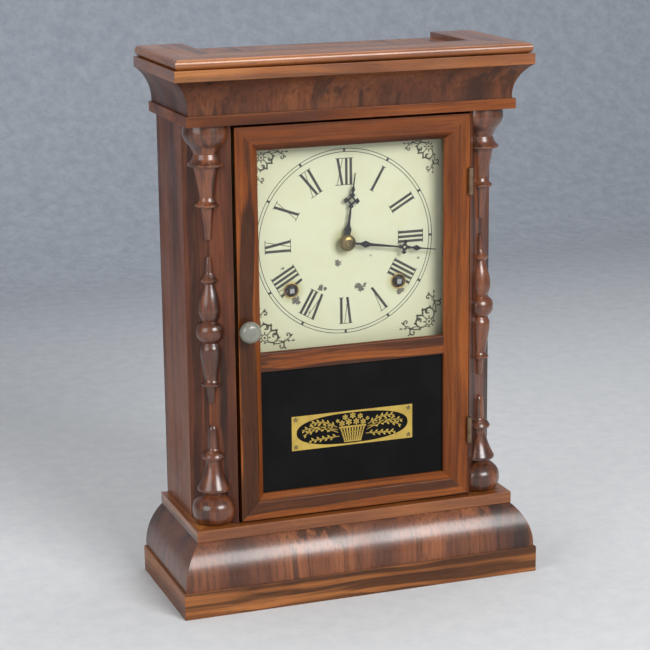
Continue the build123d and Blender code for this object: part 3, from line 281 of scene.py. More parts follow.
METAL_TONES = {
    "brass": (colour(196, 158, 88), colour(128, 92, 44), 0.28, 1.0),
    "hinge_brass": (colour(122, 100, 78), colour(82, 62, 44), 0.42, 0.8),
    "steel": (colour(176, 176, 174), colour(96, 90, 84), 0.30, 1.0),
    "blued_steel": (colour(22, 22, 26), colour(44, 32, 24), 0.32, 0.7),
    "iron": (colour(74, 70, 68), colour(88, 52, 34), 0.5, 0.8),
    "old_brass": (colour(140, 122, 74), colour(52, 46, 28), 0.26, 1.0),
    "bronze_wire": (colour(112, 96, 76), colour(64, 48, 36), 0.36, 1.0),
}


def metal(name):
    """Aged metal: tarnish gathers in blotches, and fine rubs brighten it."""
    clean, stain, rough, metallic = METAL_TONES[name]
    finish, tree, shader, place = new_finish("metal_" + name, Metallic=metallic)
    marks = use(tree, MARKS, {"Vector": place, "Scale": 4.0})
    tone = mixed(tree, spread(tree, marks["Blotch"], 0.2, 1.0, 0.0, 0.75), clean, stain)
    tone = mixed(tree, math_node(tree, "MULTIPLY", marks["Speck"], 0.6), tone, stain)
    tree.links.new(tone, shader.inputs["Base Color"])
    tree.links.new(spread(tree, marks["Rub"], 0.0, 1.0, rough + 0.14, rough), shader.inputs["Roughness"])
    bump = put(tree, "ShaderNodeBump", {"Strength": 0.15, "Distance": 0.0001, "Height": marks["Rub"]})
    tree.links.new(bump.outputs[0], shader.inputs["Normal"])
    return finish


for tone in METAL_TONES:
    finishes[tone] = metal(tone)


def porcelain():
    """Grey-white glazed knob with crackle and blotches of grime."""
    finish, tree, shader, place = new_finish("porcelain_glaze", Coat_Weight=0.4, Coat_Roughness=0.1)
    marks = use(tree, MARKS, {"Vector": place, "Scale": 6.0})
    tone = mixed(tree, math_node(tree, "MULTIPLY", marks["Blotch"], 0.55), colour(126, 127, 116), colour(98, 97, 86))
    cells = {"Vector": place, "Scale": 420.0}
    crackle = put(tree, "ShaderNodeTexVoronoi", cells, feature="DISTANCE_TO_EDGE").outputs[0]
    tone = mixed(tree, spread(tree, crackle, 0.03, 0.0, 0.0, 0.18), tone, colour(96, 88, 74))
    tree.links.new(tone, shader.inputs["Base Color"])
    tree.links.new(spread(tree, marks["Blotch"], 0.0, 1.0, 0.28, 0.42), shader.inputs["Roughness"])
    return finish


# Bare places in the dial's paint: x, z and size in millimetres
CHIPS = ((-6.1, 262.6, 2.6), (-6.6, 264.6, 1.5), (-20.6, 244.6, 2.5), (-17.6, 243.4, 1.6), (10.4, 243.2, 2.5),
         (13.2, 241.6, 2.9), (16.2, 243.8, 1.7), (-41.6, 236.2, 3.3), (-39.0, 234.6, 1.8), (45.8, 236.1, 2.6),
         (48.6, 236.9, 1.7), (21.8, 267.0, 0.9), (-52.0, 262.5, 0.8), (-30.2, 225.9, 0.9), (62.0, 262.0, 0.8))


def distance_from(tree, place, x, z):
    """How far a place is from a point of the dial's face."""
    return put(tree, "ShaderNodeVectorMath", {0: place, 1: (x, DIAL_PLANE, z)}, operation="DISTANCE").outputs["Value"]


def dial_paint():
    """Cream paint on zinc, yellowed and freckled, darker towards the rim, with bare chips at a few places."""
    finish, tree, shader, place = new_finish("dial_paint", Specular_IOR_Level=0.35)
    marks = use(tree, MARKS, {"Vector": place, "Scale": 2.0})
    tone = mixed(tree, math_node(tree, "MULTIPLY", marks["Blotch"], 0.5), colour(208, 210, 180), colour(200, 200, 164))
    # Darker and yellower from about 60 mm out towards the corners.
    reach = distance_from(tree, place, *DIAL_CENTRE)
    tone = mixed(tree, spread(tree, reach, 0.06, 0.115, 0.0, 0.55), tone, colour(186, 184, 142))
    for x, z, size in ((*DIAL_CENTRE, 0.015), (*WINDING[0], 0.013), (*WINDING[1], 0.013)):
        near = distance_from(tree, place, x, z)
        tone = mixed(tree, spread(tree, near, size, 0.004, 0.0, 0.7), tone, colour(160, 158, 92))
    tone = mixed(tree, math_node(tree, "MULTIPLY", marks["Speck"], 0.35), tone, colour(120, 104, 70))
    ragged = math_node(tree, "MULTIPLY", math_node(tree, "SUBTRACT", cloud(tree, place, 520.0, 4.0, 0.7), 0.5), 0.0080)
    bare = None
    for x, z, size in CHIPS:
        gap = math_node(tree, "ADD", distance_from(tree, place, x * MM, z * MM), ragged)
        chip = math_node(tree, "LESS_THAN", gap, size * MM * 0.95)
        bare = chip if bare is None else math_node(tree, "MAXIMUM", bare, chip)
    zinc = mixed(tree, cloud(tree, place, 700.0, 2.0), colour(70, 68, 62), colour(116, 110, 98))
    tree.links.new(mixed(tree, bare, tone, zinc), shader.inputs["Base Color"])
    tree.links.new(spread(tree, marks["Blotch"], 0.0, 1.0, 0.42, 0.58), shader.inputs["Roughness"])
    sunk = math_node(tree, "SUBTRACT", math_node(tree, "MULTIPLY", marks["Blotch"], 0.1), bare)
    bump = put(tree, "ShaderNodeBump", {"Strength": 0.4, "Distance": 0.00015, "Height": sunk})
    tree.links.new(bump.outputs[0], shader.inputs["Normal"])
    return finish


def printed(name, ink, faded, metallic=0.0, rough=0.45, thin=0.25):
    """Printed or gilt lines whose colour thins out in places."""
    finish, tree, shader, place = new_finish(name, Metallic=metallic)
    marks = use(tree, MARKS, {"Vector": place, "Scale": 5.0})
    faint = math_node(tree, "MULTIPLY", marks["Blotch"], thin)
    worn = math_node(tree, "ADD", faint, math_node(tree, "MULTIPLY", marks["Speck"], 0.5))
    tree.links.new(mixed(tree, worn, ink, faded), shader.inputs["Base Color"])
    tree.links.new(spread(tree, marks["Rub"], 0.0, 1.0, rough, rough + 0.15), shader.inputs["Roughness"])
    return finish


def clear_glass():
    """Old window glass: a clear pane whose only trace is a thin mirror film, as strong as the Fresnel share."""
    finish, tree, shader, place = new_finish("clear_glass", Base_Color=(1, 1, 1, 1), Metallic=1.0, Roughness=0.02)
    waves = {"Strength": 0.03, "Distance": 0.0005, "Height": cloud(tree, place, 14.0, 1.0)}
    ripple = put(tree, "ShaderNodeBump", waves)
    tree.links.new(ripple.outputs[0], shader.inputs["Normal"])
    tree.links.new(put(tree, "ShaderNodeFresnel", {"IOR": 1.35}).outputs[0], shader.inputs["Alpha"])
    return finish


def black_glass():
    """Glass painted black behind: deep gloss, a little dust and a few scratches through the paint."""
    finish, tree, shader, place = new_finish("painted_glass", Specular_IOR_Level=0.08)
    marks = use(tree, MARKS, {"Vector": place, "Scale": 1.5})
    cloudy = math_node(tree, "MULTIPLY", marks["Blotch"], 0.5)
    tone = mixed(tree, cloudy, (0.004, 0.004, 0.0045, 1), (0.009, 0.0085, 0.008, 1))
    tone = mixed(tree, math_node(tree, "MULTIPLY", marks["Speck"], 0.12), tone, (0.12, 0.11, 0.10, 1))
    tree.links.new(tone, shader.inputs["Base Color"])
    tree.links.new(spread(tree, marks["Rub"], 0.0, 1.0, 0.06, 0.16), shader.inputs["Roughness"])
    return finish


finishes["porcelain"] = porcelain()
finishes["dial"] = dial_paint()
finishes["ink"] = printed("dial_ink", colour(30, 29, 26), colour(92, 86, 66), thin=0.30)
finishes["scroll"] = printed("dial_scroll", colour(76, 74, 44), colour(128, 124, 84), rough=0.4, thin=0.5)
finishes["gilt"] = printed("tablet_gilt", colour(186, 158, 72), colour(140, 112, 46), metallic=0.25, rough=0.4,
                           thin=0.4)
finishes["clear_glass"] = clear_glass()
finishes["black_glass"] = black_glass()

NODES_BY_FINISH = {
    "plinth": "plinth",
    "cushion": "cushion_front cushion_sides",
    "pine": "base_rails cornice_core",
    "lengthwise": "shelf_board crown_strips cap_front cap_sides top_panel",
    "sides": "side_left side_right",
    "posts": "post_left post_right",
    "pine_upright": "backboard dial_cleats",
    "rails": "top_board door_rail_top door_rail_bottom door_rail_middle",
    "cove": "cove_front cove_sides",
    "dial": "dial",
    "hinge_brass": "hinge_leaves_case hinge_leaves_door",
    "iron": "gong_base door_latch",
    "brass": "movement_front_plate movement_back_plate movement_cocks hour_wheel minute_wheel going_great_wheel "
             "second_wheel centre_wheel third_wheel escape_wheel pendulum strike_great_wheel strike_second_wheel "
             "locking_wheel fly dial_eyelets",
    "steel": "movement_pillars centre_arbor going_winding_arbor verge strike_winding_arbor hammer",
    "stiles": "door_stile_latch door_stile_hinge",
    "clear_glass": "dial_glass",
    "black_glass": "tablet_glass",
    "blued_steel": "minute_hand hour_hand",
    "turned": "lower_turnings middle_turnings upper_turnings",
    "porcelain": "door_knob",
    "bronze_wire": "gong_coil",
}
for label, names in NODES_BY_FINISH.items():
    for name in names.split():
        node = nodes[name]
        if not node.material_slots:
            node.data.materials.append(finishes[label])
        for slot in node.material_slots:
            slot.material = finishes[label]


# ---------------------------------------------------------------- Mesh helpers
def solid_piece(name, points, faces, finish, body, slot, crease=38.0, smooth=True):
    """A mesh from points and faces, shaded smooth but for edges sharper than crease, riding on a body."""
    mesh = bpy.data.meshes.new(name)
    mesh.from_pydata(np.asarray(points, float).tolist(), [], faces)
    mesh.validate()
    mesh.polygons.foreach_set("use_smooth", np.full(len(mesh.polygons), smooth))
    if smooth:
        mesh.set_sharp_from_angle(angle=math.radians(crease))
    piece = bpy.data.objects.new(name, mesh)
    bpy.context.scene.collection.objects.link(piece)
    mesh.materials.append(finishes[finish])
    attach(piece, body)
    return piece


def through_points(knots, steps=6):
    """A smooth line through (r, z) knots: a cubic between each two, with slopes from the neighbours and level where a
    coordinate turns back, so that it never overshoots."""
    knots = np.asarray(knots, float)
    gaps = np.hypot(*np.diff(knots, axis=0).T)
    along = np.concatenate([[0], np.cumsum(gaps)])
    slopes = np.gradient(knots, along, axis=0)
    secants = np.diff(knots, axis=0) / gaps[:, None]
    turn = np.zeros(knots.shape, bool)
    turn[1:-1] = secants[:-1] * secants[1:] <= 0
    slopes[turn] = 0
    t = np.linspace(0, 1, steps, endpoint=False)[None, :, None]
    p0, p1 = knots[:-1, None], knots[1:, None]
    m0, m1 = slopes[:-1, None] * gaps[:, None, None], slopes[1:, None] * gaps[:, None, None]
    line = ((2 * t**3 - 3 * t**2 + 1) * p0 + (t**3 - 2 * t**2 + t) * m0
            + (3 * t**2 - 2 * t**3) * p1 + (t**3 - t**2) * m1)
    return np.vstack([line.reshape(-1, 2), knots[-1:]])


def profile_of(runs, steps=6):
    """Joins smooth runs of knots into one profile; a run of two knots stays straight."""
    lines = []
    for run in runs:
        line = through_points(run, steps) if len(run) > 2 else np.asarray(run, float)
        if lines and np.allclose(lines[-1][-1], line[0]):
            line = line[1:]
        lines.append(line)
    return np.vstack(lines)


def half_round(profile, sides=28):
    """Half turning: a point of the profile at radius r and height z goes to (r cos a, r sin a, z) for a from 0 to
    180 degrees. The flat back joins the first and last angles, and a fan closes each end."""
    angles = np.linspace(0, math.pi, sides + 1)
    ring = np.stack([np.cos(angles), np.sin(angles)], 1)
    r, z = profile[:, 0], profile[:, 1]
    count, width = len(r), sides + 1
    points = np.concatenate([r[:, None, None] * ring[None], np.broadcast_to(z[:, None, None], (count, width, 1))], 2)
    row = np.arange(count - 1)[:, None] * width
    col = np.arange(sides)[None]
    skin = np.stack([row + col, row + col + 1, row + col + 1 + width, row + col + width], -1).reshape(-1, 4)
    back = np.stack([row[:, 0] + sides, row[:, 0], row[:, 0] + width, row[:, 0] + sides + width], -1)
    faces = skin.tolist() + back.tolist()
    faces.append(list(range(width))[::-1])
    faces.append([(count - 1) * width + i for i in range(width)])
    return points.reshape(-1, 3), faces


def whole_round(profile, sides=64):
    """Turned piece about Z: (r cos a, r sin a, z) for a all round, with a flat cap over each end."""
    angles = np.linspace(0, 2 * math.pi, sides, endpoint=False)
    ring = np.stack([np.cos(angles), np.sin(angles)], 1)
    r, z = profile[:, 0], profile[:, 1]
    points = np.concatenate([r[:, None, None] * ring[None], np.broadcast_to(z[:, None, None], (len(r), sides, 1))], 2)
    row = np.arange(len(r) - 1)[:, None] * sides
    col = np.arange(sides)[None]
    after = (col + 1) % sides
    faces = np.stack([row + col, row + after, row + after + sides, row + col + sides], -1).reshape(-1, 4).tolist()
    faces.append(list(range(sides))[::-1])
    faces.append([(len(r) - 1) * sides + i for i in range(sides)])
    return points.reshape(-1, 3), faces


def joined(parts):
    """Several (points, faces) as one."""
    points, faces, start = [], [], 0
    for some, their in parts:
        points.append(some)
        faces += [[i + start for i in face] for face in their]
        start += len(some)
    return np.vstack(points), faces


# ---------------------------------------------------------------- Split turnings on the canted corners
def on_both_cants(name, runs, node):
    """The half turning faces out of the right cant, square to it, and its mirror out of the left one."""
    profile = profile_of(runs)
    points, faces = half_round(profile * MM)
    turn = math.radians(-135)
    x = points[:, 0] * math.cos(turn) - points[:, 1] * math.sin(turn) + CANT_MIDDLE[0]
    y = points[:, 0] * math.sin(turn) + points[:, 1] * math.cos(turn) + CANT_MIDDLE[1]
    right = np.stack([x, y, points[:, 2] + SHELF_TOP], 1)
    left = right * (-1, 1, 1)
    pair = joined([(right, faces), (left, [face[::-1] for face in faces])])
    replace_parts(solid_piece(name, *pair, "turned", "case", "turned_wood"), node)


on_both_cants("finial_turnings", [
    [(12.2, 0.1), (14.8, 1.6), (17.0, 5.4), (17.7, 10.5), (16.6, 16.2), (13.0, 20.6), (9.2, 23.4)],
    [(9.2, 23.4), (8.2, 25.6)], [(8.2, 25.6), (13.2, 26.8)], [(13.2, 26.8), (13.4, 28.4)],
    [(13.4, 28.4), (10.6, 34.0), (8.2, 40.0), (6.7, 45.4)],
    [(6.7, 45.4), (6.2, 48.6), (6.4, 51.6)], [(6.4, 51.6), (9.2, 52.4)], [(9.2, 52.4), (9.8, 54.2)],
    [(9.8, 54.2), (8.0, 57.0), (5.4, 59.0), (4.7, 60.2)],
    [(4.7, 60.2), (4.6, 66.0), (4.1, 73.0), (3.1, 77.6), (2.2, 78.9)]], "lower_turnings")
on_both_cants("spindle_turnings", [
    [(2.6, 97.1), (3.4, 103.0), (4.2, 109.8)], [(4.2, 109.8), (7.9, 111.2)], [(7.9, 111.2), (8.1, 112.6)],
    [(8.1, 112.6), (6.3, 114.4), (5.7, 116.0)],
    [(5.7, 116.0), (6.6, 122.0), (8.0, 130.0), (8.9, 137.0), (8.6, 141.6), (6.7, 145.4)],
    [(6.7, 145.4), (9.6, 148.0), (11.2, 151.0), (11.5, 153.8), (11.2, 156.8), (9.8, 159.8), (6.6, 162.4)],
    [(6.6, 162.4), (8.3, 166.2), (9.3, 170.4), (9.0, 175.0), (7.6, 182.0), (5.6, 188.0), (4.6, 191.6)],
    [(4.6, 191.6), (7.0, 193.8)], [(7.0, 193.8), (7.3, 195.0)], [(7.3, 195.0), (5.2, 197.6), (3.6, 200.4)],
    [(3.6, 200.4), (3.3, 206.0), (2.4, 212.9)]], "middle_turnings")
on_both_cants("drop_turnings", [
    [(3.0, 226.4), (3.9, 238.0), (5.4, 251.0)], [(5.4, 251.0), (9.7, 252.2)], [(9.7, 252.2), (9.9, 253.6)],
    [(9.9, 253.6), (7.4, 256.0), (6.3, 259.0)], [(6.3, 259.0), (7.6, 268.0), (10.2, 282.2)],
    [(10.2, 282.2), (14.4, 283.4)],
    [(14.4, 283.4), (14.7, 284.8)], [(14.7, 284.8), (11.4, 288.2), (9.9, 292.4)],
    [(9.9, 292.4), (12.2, 297.2), (16.2, 302.6), (18.0, 308.4), (17.4, 315.1)]], "upper_turnings")


# ---------------------------------------------------------------- Knob, eyelets, gong
def facing_front(points, place, plane):
    """Turns a piece made along Z to point out of the front: its z becomes the distance before the plane."""
    return np.stack([points[:, 0] + place[0], plane - points[:, 2], points[:, 1] + place[1]], 1)


knob_points, knob_faces = whole_round(MM * profile_of([
    [(4.0, 0.2), (3.9, 1.6), (4.0, 3.2), (5.2, 4.0), (7.3, 5.0), (8.3, 6.9), (8.45, 9.0), (7.9, 11.4), (6.2, 13.3),
     (3.6, 14.2), (0.5, 14.45)]]))
knob_points = facing_front(knob_points, KNOB_PLACE, DOOR_PLANE)
knob = solid_piece("turned_knob", knob_points, knob_faces, "porcelain", "knob", "porcelain")
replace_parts(knob, "door_knob")


dome_points, dome_faces = whole_round(MM * profile_of([
    [(6.55, -0.7), (6.6, 0.1)], [(6.6, 0.1), (6.3, 0.9), (5.2, 2.0), (3.4, 2.75), (1.2, 2.98), (0.3, 2.99)]]), sides=48)
dome_points = facing_front(dome_points, DIAL_CENTRE, HAND_NUT_PLANE)
solid_piece("hand_nut", dome_points, dome_faces, "old_brass", "minute", "brass")


def ring_profile_solid(outer, inner, height, place, plane):
    """A ring whose section is a half oval: radius middle + w cos a, height h sin a, for a from 0 to 180 degrees."""
    middle, half = (outer + inner) / 2, (outer - inner) / 2
    a = np.linspace(0, math.pi, 9)
    section = np.stack([middle - half * np.cos(a), height * (0.15 + 0.85 * np.sin(a))], 1)
    section = np.vstack([[inner, 0], section, [outer, 0]])
    steps, count = 56, len(section)
    turn = np.linspace(0, 2 * math.pi, steps, endpoint=False)
    r, z = section[:, None, 0], section[:, None, 1]
    points = np.stack([r * np.cos(turn), r * np.sin(turn), np.repeat(z, steps, 1)], 2)
    row = np.arange(count)[:, None] * steps
    nxt = ((np.arange(count) + 1) % count)[:, None] * steps
    col, after = np.arange(steps)[None], (np.arange(steps)[None] + 1) % steps
    faces = np.stack([row + col, nxt + col, nxt + after, row + after], -1).reshape(-1, 4).tolist()
    return facing_front(points.reshape(-1, 3) * MM, place, plane), faces


rings = joined([ring_profile_solid(6.25, 5.25, 0.78, place, DIAL_PLANE) for place in WINDING])
eyelets = solid_piece("winding_eyelets", *rings, "brass", "case", "brass", crease=60)
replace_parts(eyelets, "dial_eyelets")


def gong_spiral():
    """Flattened wire along a spiral: radius = inner + pitch * turns; section a rounded oblong of eight corners."""
    turns = np.linspace(0, 3, 217)
    angle = 2 * math.pi * turns
    radius = 12.0 + 8.0 * turns
    bevel, half, deep = 0.5, 1.28, 1.95
    section = np.array([(-half, bevel), (-half + bevel, 0.05), (half - bevel, 0.05), (half, bevel),
                        (half, deep - bevel), (half - bevel, deep), (-half + bevel, deep), (-half, deep - bevel)])
    r = radius[:, None] + section[None, :, 0]
    points = np.stack([r * np.cos(angle[:, None]), GONG_DEPTH + np.broadcast_to(section[None, :, 1], r.shape),
                       GONG_HEIGHT + r * np.sin(angle[:, None])], 2).reshape(-1, 3)
    count = len(turns)
    row, col = np.arange(count - 1)[:, None] * 8, np.arange(8)[None]
    after = (col + 1) % 8
    faces = np.stack([row + col, row + after, row + after + 8, row + col + 8], -1).reshape(-1, 4).tolist()
    faces += [list(range(8))[::-1], [(count - 1) * 8 + i for i in range(8)]]
    lead = np.array([(x, y, z) for x in (7.0, 13.3) for y in (42.8, 44.7) for z in (126.9, GONG_HEIGHT)])
    block = [[0, 1, 3, 2], [4, 6, 7, 5], [0, 4, 5, 1], [2, 3, 7, 6], [0, 2, 6, 4], [1, 5, 7, 3]]
    return joined([(points * MM, faces), (lead * MM, block)])


gong = solid_piece("gong_spiral", *gong_spiral(), "bronze_wire", "case", "steel", crease=50)
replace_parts(gong, "gong_coil")


# ---------------------------------------------------------------- Flat work: numerals, rings, scrolls, gilt
def laid(shapes, place, plane, lift, name, finish, body, slot):
    """Lays (points, faces) in the plane before the given one; points are (right, up) in millimetres from place."""
    points, faces = joined(shapes)
    flat = np.stack([points[:, 0] * MM + place[0], np.full(len(points), plane - lift), points[:, 1] * MM + place[1]], 1)
    return solid_piece(name, flat, faces, finish, body, slot, smooth=False)


def quad(corners):
    """Four corners, turned to run counterclockwise as seen from the front."""
    c = np.asarray(corners, float)
    area = np.sum(c[:, 0] * np.roll(c[:, 1], -1) - np.roll(c[:, 0], -1) * c[:, 1])
    return (c if area > 0 else c[::-1], [list(range(len(c)))])


def annulus(radius, width, centre=(0, 0), steps=160):
    """A flat ring: two circles of points joined by quads."""
    a = np.linspace(0, 2 * math.pi, steps, endpoint=False)
    ring = np.stack([np.cos(a), np.sin(a)], 1)
    points = np.vstack([ring * (radius - width / 2), ring * (radius + width / 2)]) + centre
    i = np.arange(steps)
    j = (i + 1) % steps
    return points, np.stack([i, steps + i, steps + j, j], 1).tolist()


def ribbon(line, widths):
    """A flat brush stroke: each point of the line is moved half a width to both sides along its normal."""
    line = np.asarray(line, float)
    tangent = np.gradient(line, axis=0)
    tangent /= np.maximum(np.hypot(*tangent.T), 1e-9)[:, None]
    normal = np.stack([-tangent[:, 1], tangent[:, 0]], 1)
    half = np.asarray(widths, float)[:, None] / 2
    points = np.vstack([line - normal * half, line + normal * half])
    n = len(line)
    i = np.arange(n - 1)
    return points, np.stack([i, i + 1, n + i + 1, n + i], 1).tolist()


def swelling(line, width, ends=0.25):
    t = np.linspace(0, 1, len(line))
    return ribbon(line, width * (ends + (1 - ends) * np.sin(math.pi * t) ** 0.8))


def disc(centre, radius, steps=16, stretch=1.0, turn=0.0):
    a = np.linspace(0, 2 * math.pi, steps, endpoint=False)
    x, y = radius * stretch * np.cos(a), radius * np.sin(a)
    c, s = math.cos(turn), math.sin(turn)
    return np.stack([centre[0] + x * c - y * s, centre[1] + x * s + y * c], 1), [list(range(steps))]


def moved(shape, shift=(0, 0), turn=0.0, flip=(1, 1)):
    """Turns a flat shape, flips it and moves it; a single flip turns its faces over again."""
    points, faces = shape
    c, s = math.cos(turn), math.sin(turn)
    p = np.stack([points[:, 0] * c - points[:, 1] * s, points[:, 0] * s + points[:, 1] * c], 1) * flip + shift
    if flip[0] * flip[1] < 0:
        faces = [face[::-1] for face in faces]
    return p, faces


# Roman numerals: thick and thin strokes between two radii, closed by long thin serif lines
INNER, OUTER = 44.8, 66.2
THICK, THIN, SERIF = 2.15, 0.5, 0.5


def stroke(x0, x1, width, low=INNER, high=OUTER):
    return quad([(x0 - width / 2, low), (x0 + width / 2, low), (x1 + width / 2, high), (x1 - width / 2, high)])


def bar(x0, x1, level, inwards):
    return quad([(x0, level), (x1, level), (x1, level + inwards * SERIF), (x0, level + inwards * SERIF)])


def letter(kind):
    """The strokes of one letter about x = 0, its half width, and how far its serifs run below and above."""
    if kind == "I":
        return [stroke(0, 0, THICK)], 1.85, 2.0, 2.0
    if kind == "V":
        return [stroke(0.2, -2.3, THICK), stroke(-0.2, 2.6, THIN)], 3.5, 0.0, 3.9
    return [stroke(1.9, -1.9, THICK), stroke(-2.4, 2.4, THIN)], 3.5, 3.9, 3.9


def numeral(text, hour):
    """Letters side by side along the arc, turned so that their feet point to the centre."""
    letters = [letter(kind) for kind in text]
    x = -sum(half for _, half, _, _ in letters)
    shapes = []
    for strokes, half, low, high in letters:
        x += half
        shapes += [(points + (x, 0), faces) for points, faces in strokes]
        if low:
            shapes.append(bar(x - low, x + low, INNER, 1))
        shapes.append(bar(x - high, x + high, OUTER, -1))
        x += half
    return [moved(shape, turn=-math.radians(30 * hour)) for shape in shapes]


dial_lines = []
for hour, text in enumerate("I II III IIII V VI VII VIII IX X XI XII".split(), start=1):
    dial_lines += numeral(text, hour)
dial_lines += [annulus(71.1, 0.55), annulus(73.6, 0.55)]
for hour in range(12):
    mark = quad([(-0.95, 71.1), (0.95, 71.1), (0.95, 73.6), (-0.95, 73.6)])
    dial_lines.append(moved(mark, turn=-math.radians(30 * hour)))
laid(dial_lines, DIAL_CENTRE, DIAL_PLANE, PRINT_LIFT, "dial_numerals", "ink", "case", "dial_paint")


# Corner scrolls: a rosette with leafy curls along both sides of each corner
def curl(start, size, wind, turns, hand):
    """A spiral: the heading turns evenly while the step shrinks, so the stroke winds into itself."""
    t = np.linspace(0, 1, 30)
    heading = math.radians(wind) + hand * turns * 2 * math.pi * t**1.3
    steps = size * (1 - 0.8 * t) / 12
    return np.cumsum(np.stack([np.cos(heading), np.sin(heading)], 1) * steps[:, None], 0) + start


def corner_scrolls():
    """One corner at the upper right: the corner is at the origin, the scrolls run left and down from it."""
    shapes = [annulus(2.3, 0.75, (-5.6, -5.6), 28), disc((-5.6, -5.6), 0.95, 16)]
    for k in range(8):
        a = math.pi / 4 * k
        shapes.append(disc((-5.6 + 3.5 * math.cos(a), -5.6 + 3.5 * math.sin(a)), 0.62, 10, 1.5, a))
    arm = []
    for index, (start, size, wind, turns, hand) in enumerate((
            ((-7.4, -2.6), 11.5, 160, 0.95, 1), ((-8.2, -8.6), 7.5, 215, 0.9, 1), ((-13.5, -2.2), 9.5, 195, 0.95, -1),
            ((-19.6, -3.6), 7.5, 165, 1.0, 1))):
        path = curl(start, size, wind, turns, hand)
        arm.append(swelling(path, 1.35 - 0.12 * index, ends=0.35))
        arm.append(disc(path[-1], 0.75, 10))
        for t in (4, 9, 14):
            way = math.radians(wind) + (0.9 if t == 9 else -0.9)
            arm.append(disc(path[t] + 1.3 * np.array((math.cos(way), math.sin(way))), 0.6, 10, 2.2, way))
    t = np.linspace(0, 1, 24)
    stem = np.stack([-4.6 - 20.5 * t, -1.5 - 0.9 * np.sin(t * 9.0)], 1)
    arm.append(swelling(stem, 0.95, ends=0.4))
    arm.append(disc((-26.6, -2.0), 0.7, 10, 1.8))
    flipped = [(points[:, ::-1].copy(), [face[::-1] for face in faces]) for points, faces in arm]
    return shapes + arm + flipped


scrolls = []
one = corner_scrolls()
for sx, sz, x, z, size in ((1, 1, 76.4, 76.2, 0.98), (-1, 1, -73.4, 76.2, 0.98),
                           (1, -1, 78.0, -77.6, 1.16), (-1, -1, -73.8, -77.8, 1.12)):
    scrolls += [moved((points * size, faces), (x, z), flip=(sx, sz)) for points, faces in one]
laid(scrolls, DIAL_CENTRE, DIAL_PLANE, SCROLL_LIFT, "dial_scrolls", "scroll", "case", "dial_paint")


# Gilt ornament on the tablet: a basket of flowers between leafy sprays, framed, with florets in the corners
def floret(x, y, size, petals=5):
    shapes = [disc((x, y), size * 0.24, 10)]
    for k in range(petals):
        a = math.pi / 2 + 2 * math.pi * k / petals
        middle = (x + 0.62 * size * math.cos(a), y + 0.62 * size * math.sin(a))
        shapes.append(disc(middle, size * 0.24, 10, 1.5, a))
    return shapes


HALF_W, HALF_H = 51.2, 14.05


def gilt_field(steps=160):
    """The gilt between the frame and the oval: each point of the oval is joined to one on the frame. The oval is
    (47.2 c, 12.6 s) with the cosine c and sine s of the angle raised to 0.85 and keeping their signs."""
    a = np.linspace(0, 2 * math.pi, steps, endpoint=False) + math.pi / 4
    c, n = np.cos(a), np.sin(a)
    oval = np.stack([47.2 * np.sign(c) * np.abs(c) ** 0.85, 12.6 * np.sign(n) * np.abs(n) ** 0.85], 1)
    frame_line = np.stack([np.clip(c * 1.4142, -1, 1) * HALF_W, np.clip(n * 1.4142, -1, 1) * HALF_H], 1)
    i = np.arange(steps)
    j = (i + 1) % steps
    return np.vstack([oval, frame_line]), np.stack([i, steps + i, steps + j, j], 1).tolist()


def tablet_ornament():
    """The field, the basket's stakes and bands, the flowers in it, then the leafy sprays of both sides."""
    shapes = [gilt_field()]
    for k in range(9):
        x = -10.0 + 20.0 * k / 8
        line = np.stack([np.linspace(x * 0.66, x, 10), np.linspace(-10.6, 0.6, 10)], 1)
        shapes.append(ribbon(line, np.full(10, 1.15)))
    for level, half, width in ((-10.9, 7.4, 1.2), (-7.2, 7.9, 0.6), (-3.4, 9.2, 0.6), (0.9, 11.4, 1.5)):
        low, high = level - width / 2, level + width / 2
        shapes.append(quad([(-half, low), (half, low), (half, high), (-half, high)]))
    for x, y, size in ((-9.0, 4.2, 2.7), (-3.2, 4.9, 2.9), (3.2, 4.7, 2.8), (9.0, 4.0, 2.6), (-6.2, 9.0, 2.5),
                       (0.2, 9.9, 2.7), (6.6, 8.8, 2.5), (-12.6, 6.6, 1.7), (12.8, 6.4, 1.7)):
        shapes += floret(x, y, size, 6)
    for side in (-1, 1):
        for x0, y0, x1, y1, lift in ((12, -3, 42, -2.5, 4.5), (11, -6, 37, -7.4, 0.2), (13, 1.5, 36, 6.6, 2.6),
                                     (12.5, -0.6, 43, 2.0, 2.2)):
            t = np.linspace(0, 1, 24)
            line = np.stack([x0 + (x1 - x0) * t, y0 + (y1 - y0) * t + lift * np.sin(math.pi * t)], 1)
            shapes.append(moved(swelling(line, 1.2), flip=(side, 1)))
            for step in range(3, 23, 2):
                p, q = line[step], line[step] - line[step - 1]
                way = math.atan2(q[1], q[0]) + (0.75 if step % 4 == 3 else -0.75)
                leaf = disc(p + 1.6 * np.array((math.cos(way), math.sin(way))), 0.68, 10, 2.6, way)
                shapes.append(moved(leaf, flip=(side, 1)))
    return shapes


corner_florets = []
for sx in (-1, 1):
    for sz in (-1, 1):
        corner_florets += floret(sx * 47.9, sz * 11.2, 2.1)
laid(tablet_ornament(), TABLET_PLACE, TABLET_PLANE, GILT_LIFT, "tablet_ornament", "gilt", "door", "painted_glass")
laid(corner_florets, TABLET_PLACE, TABLET_PLANE, FLORET_LIFT, "tablet_florets", "ink", "door", "painted_glass")


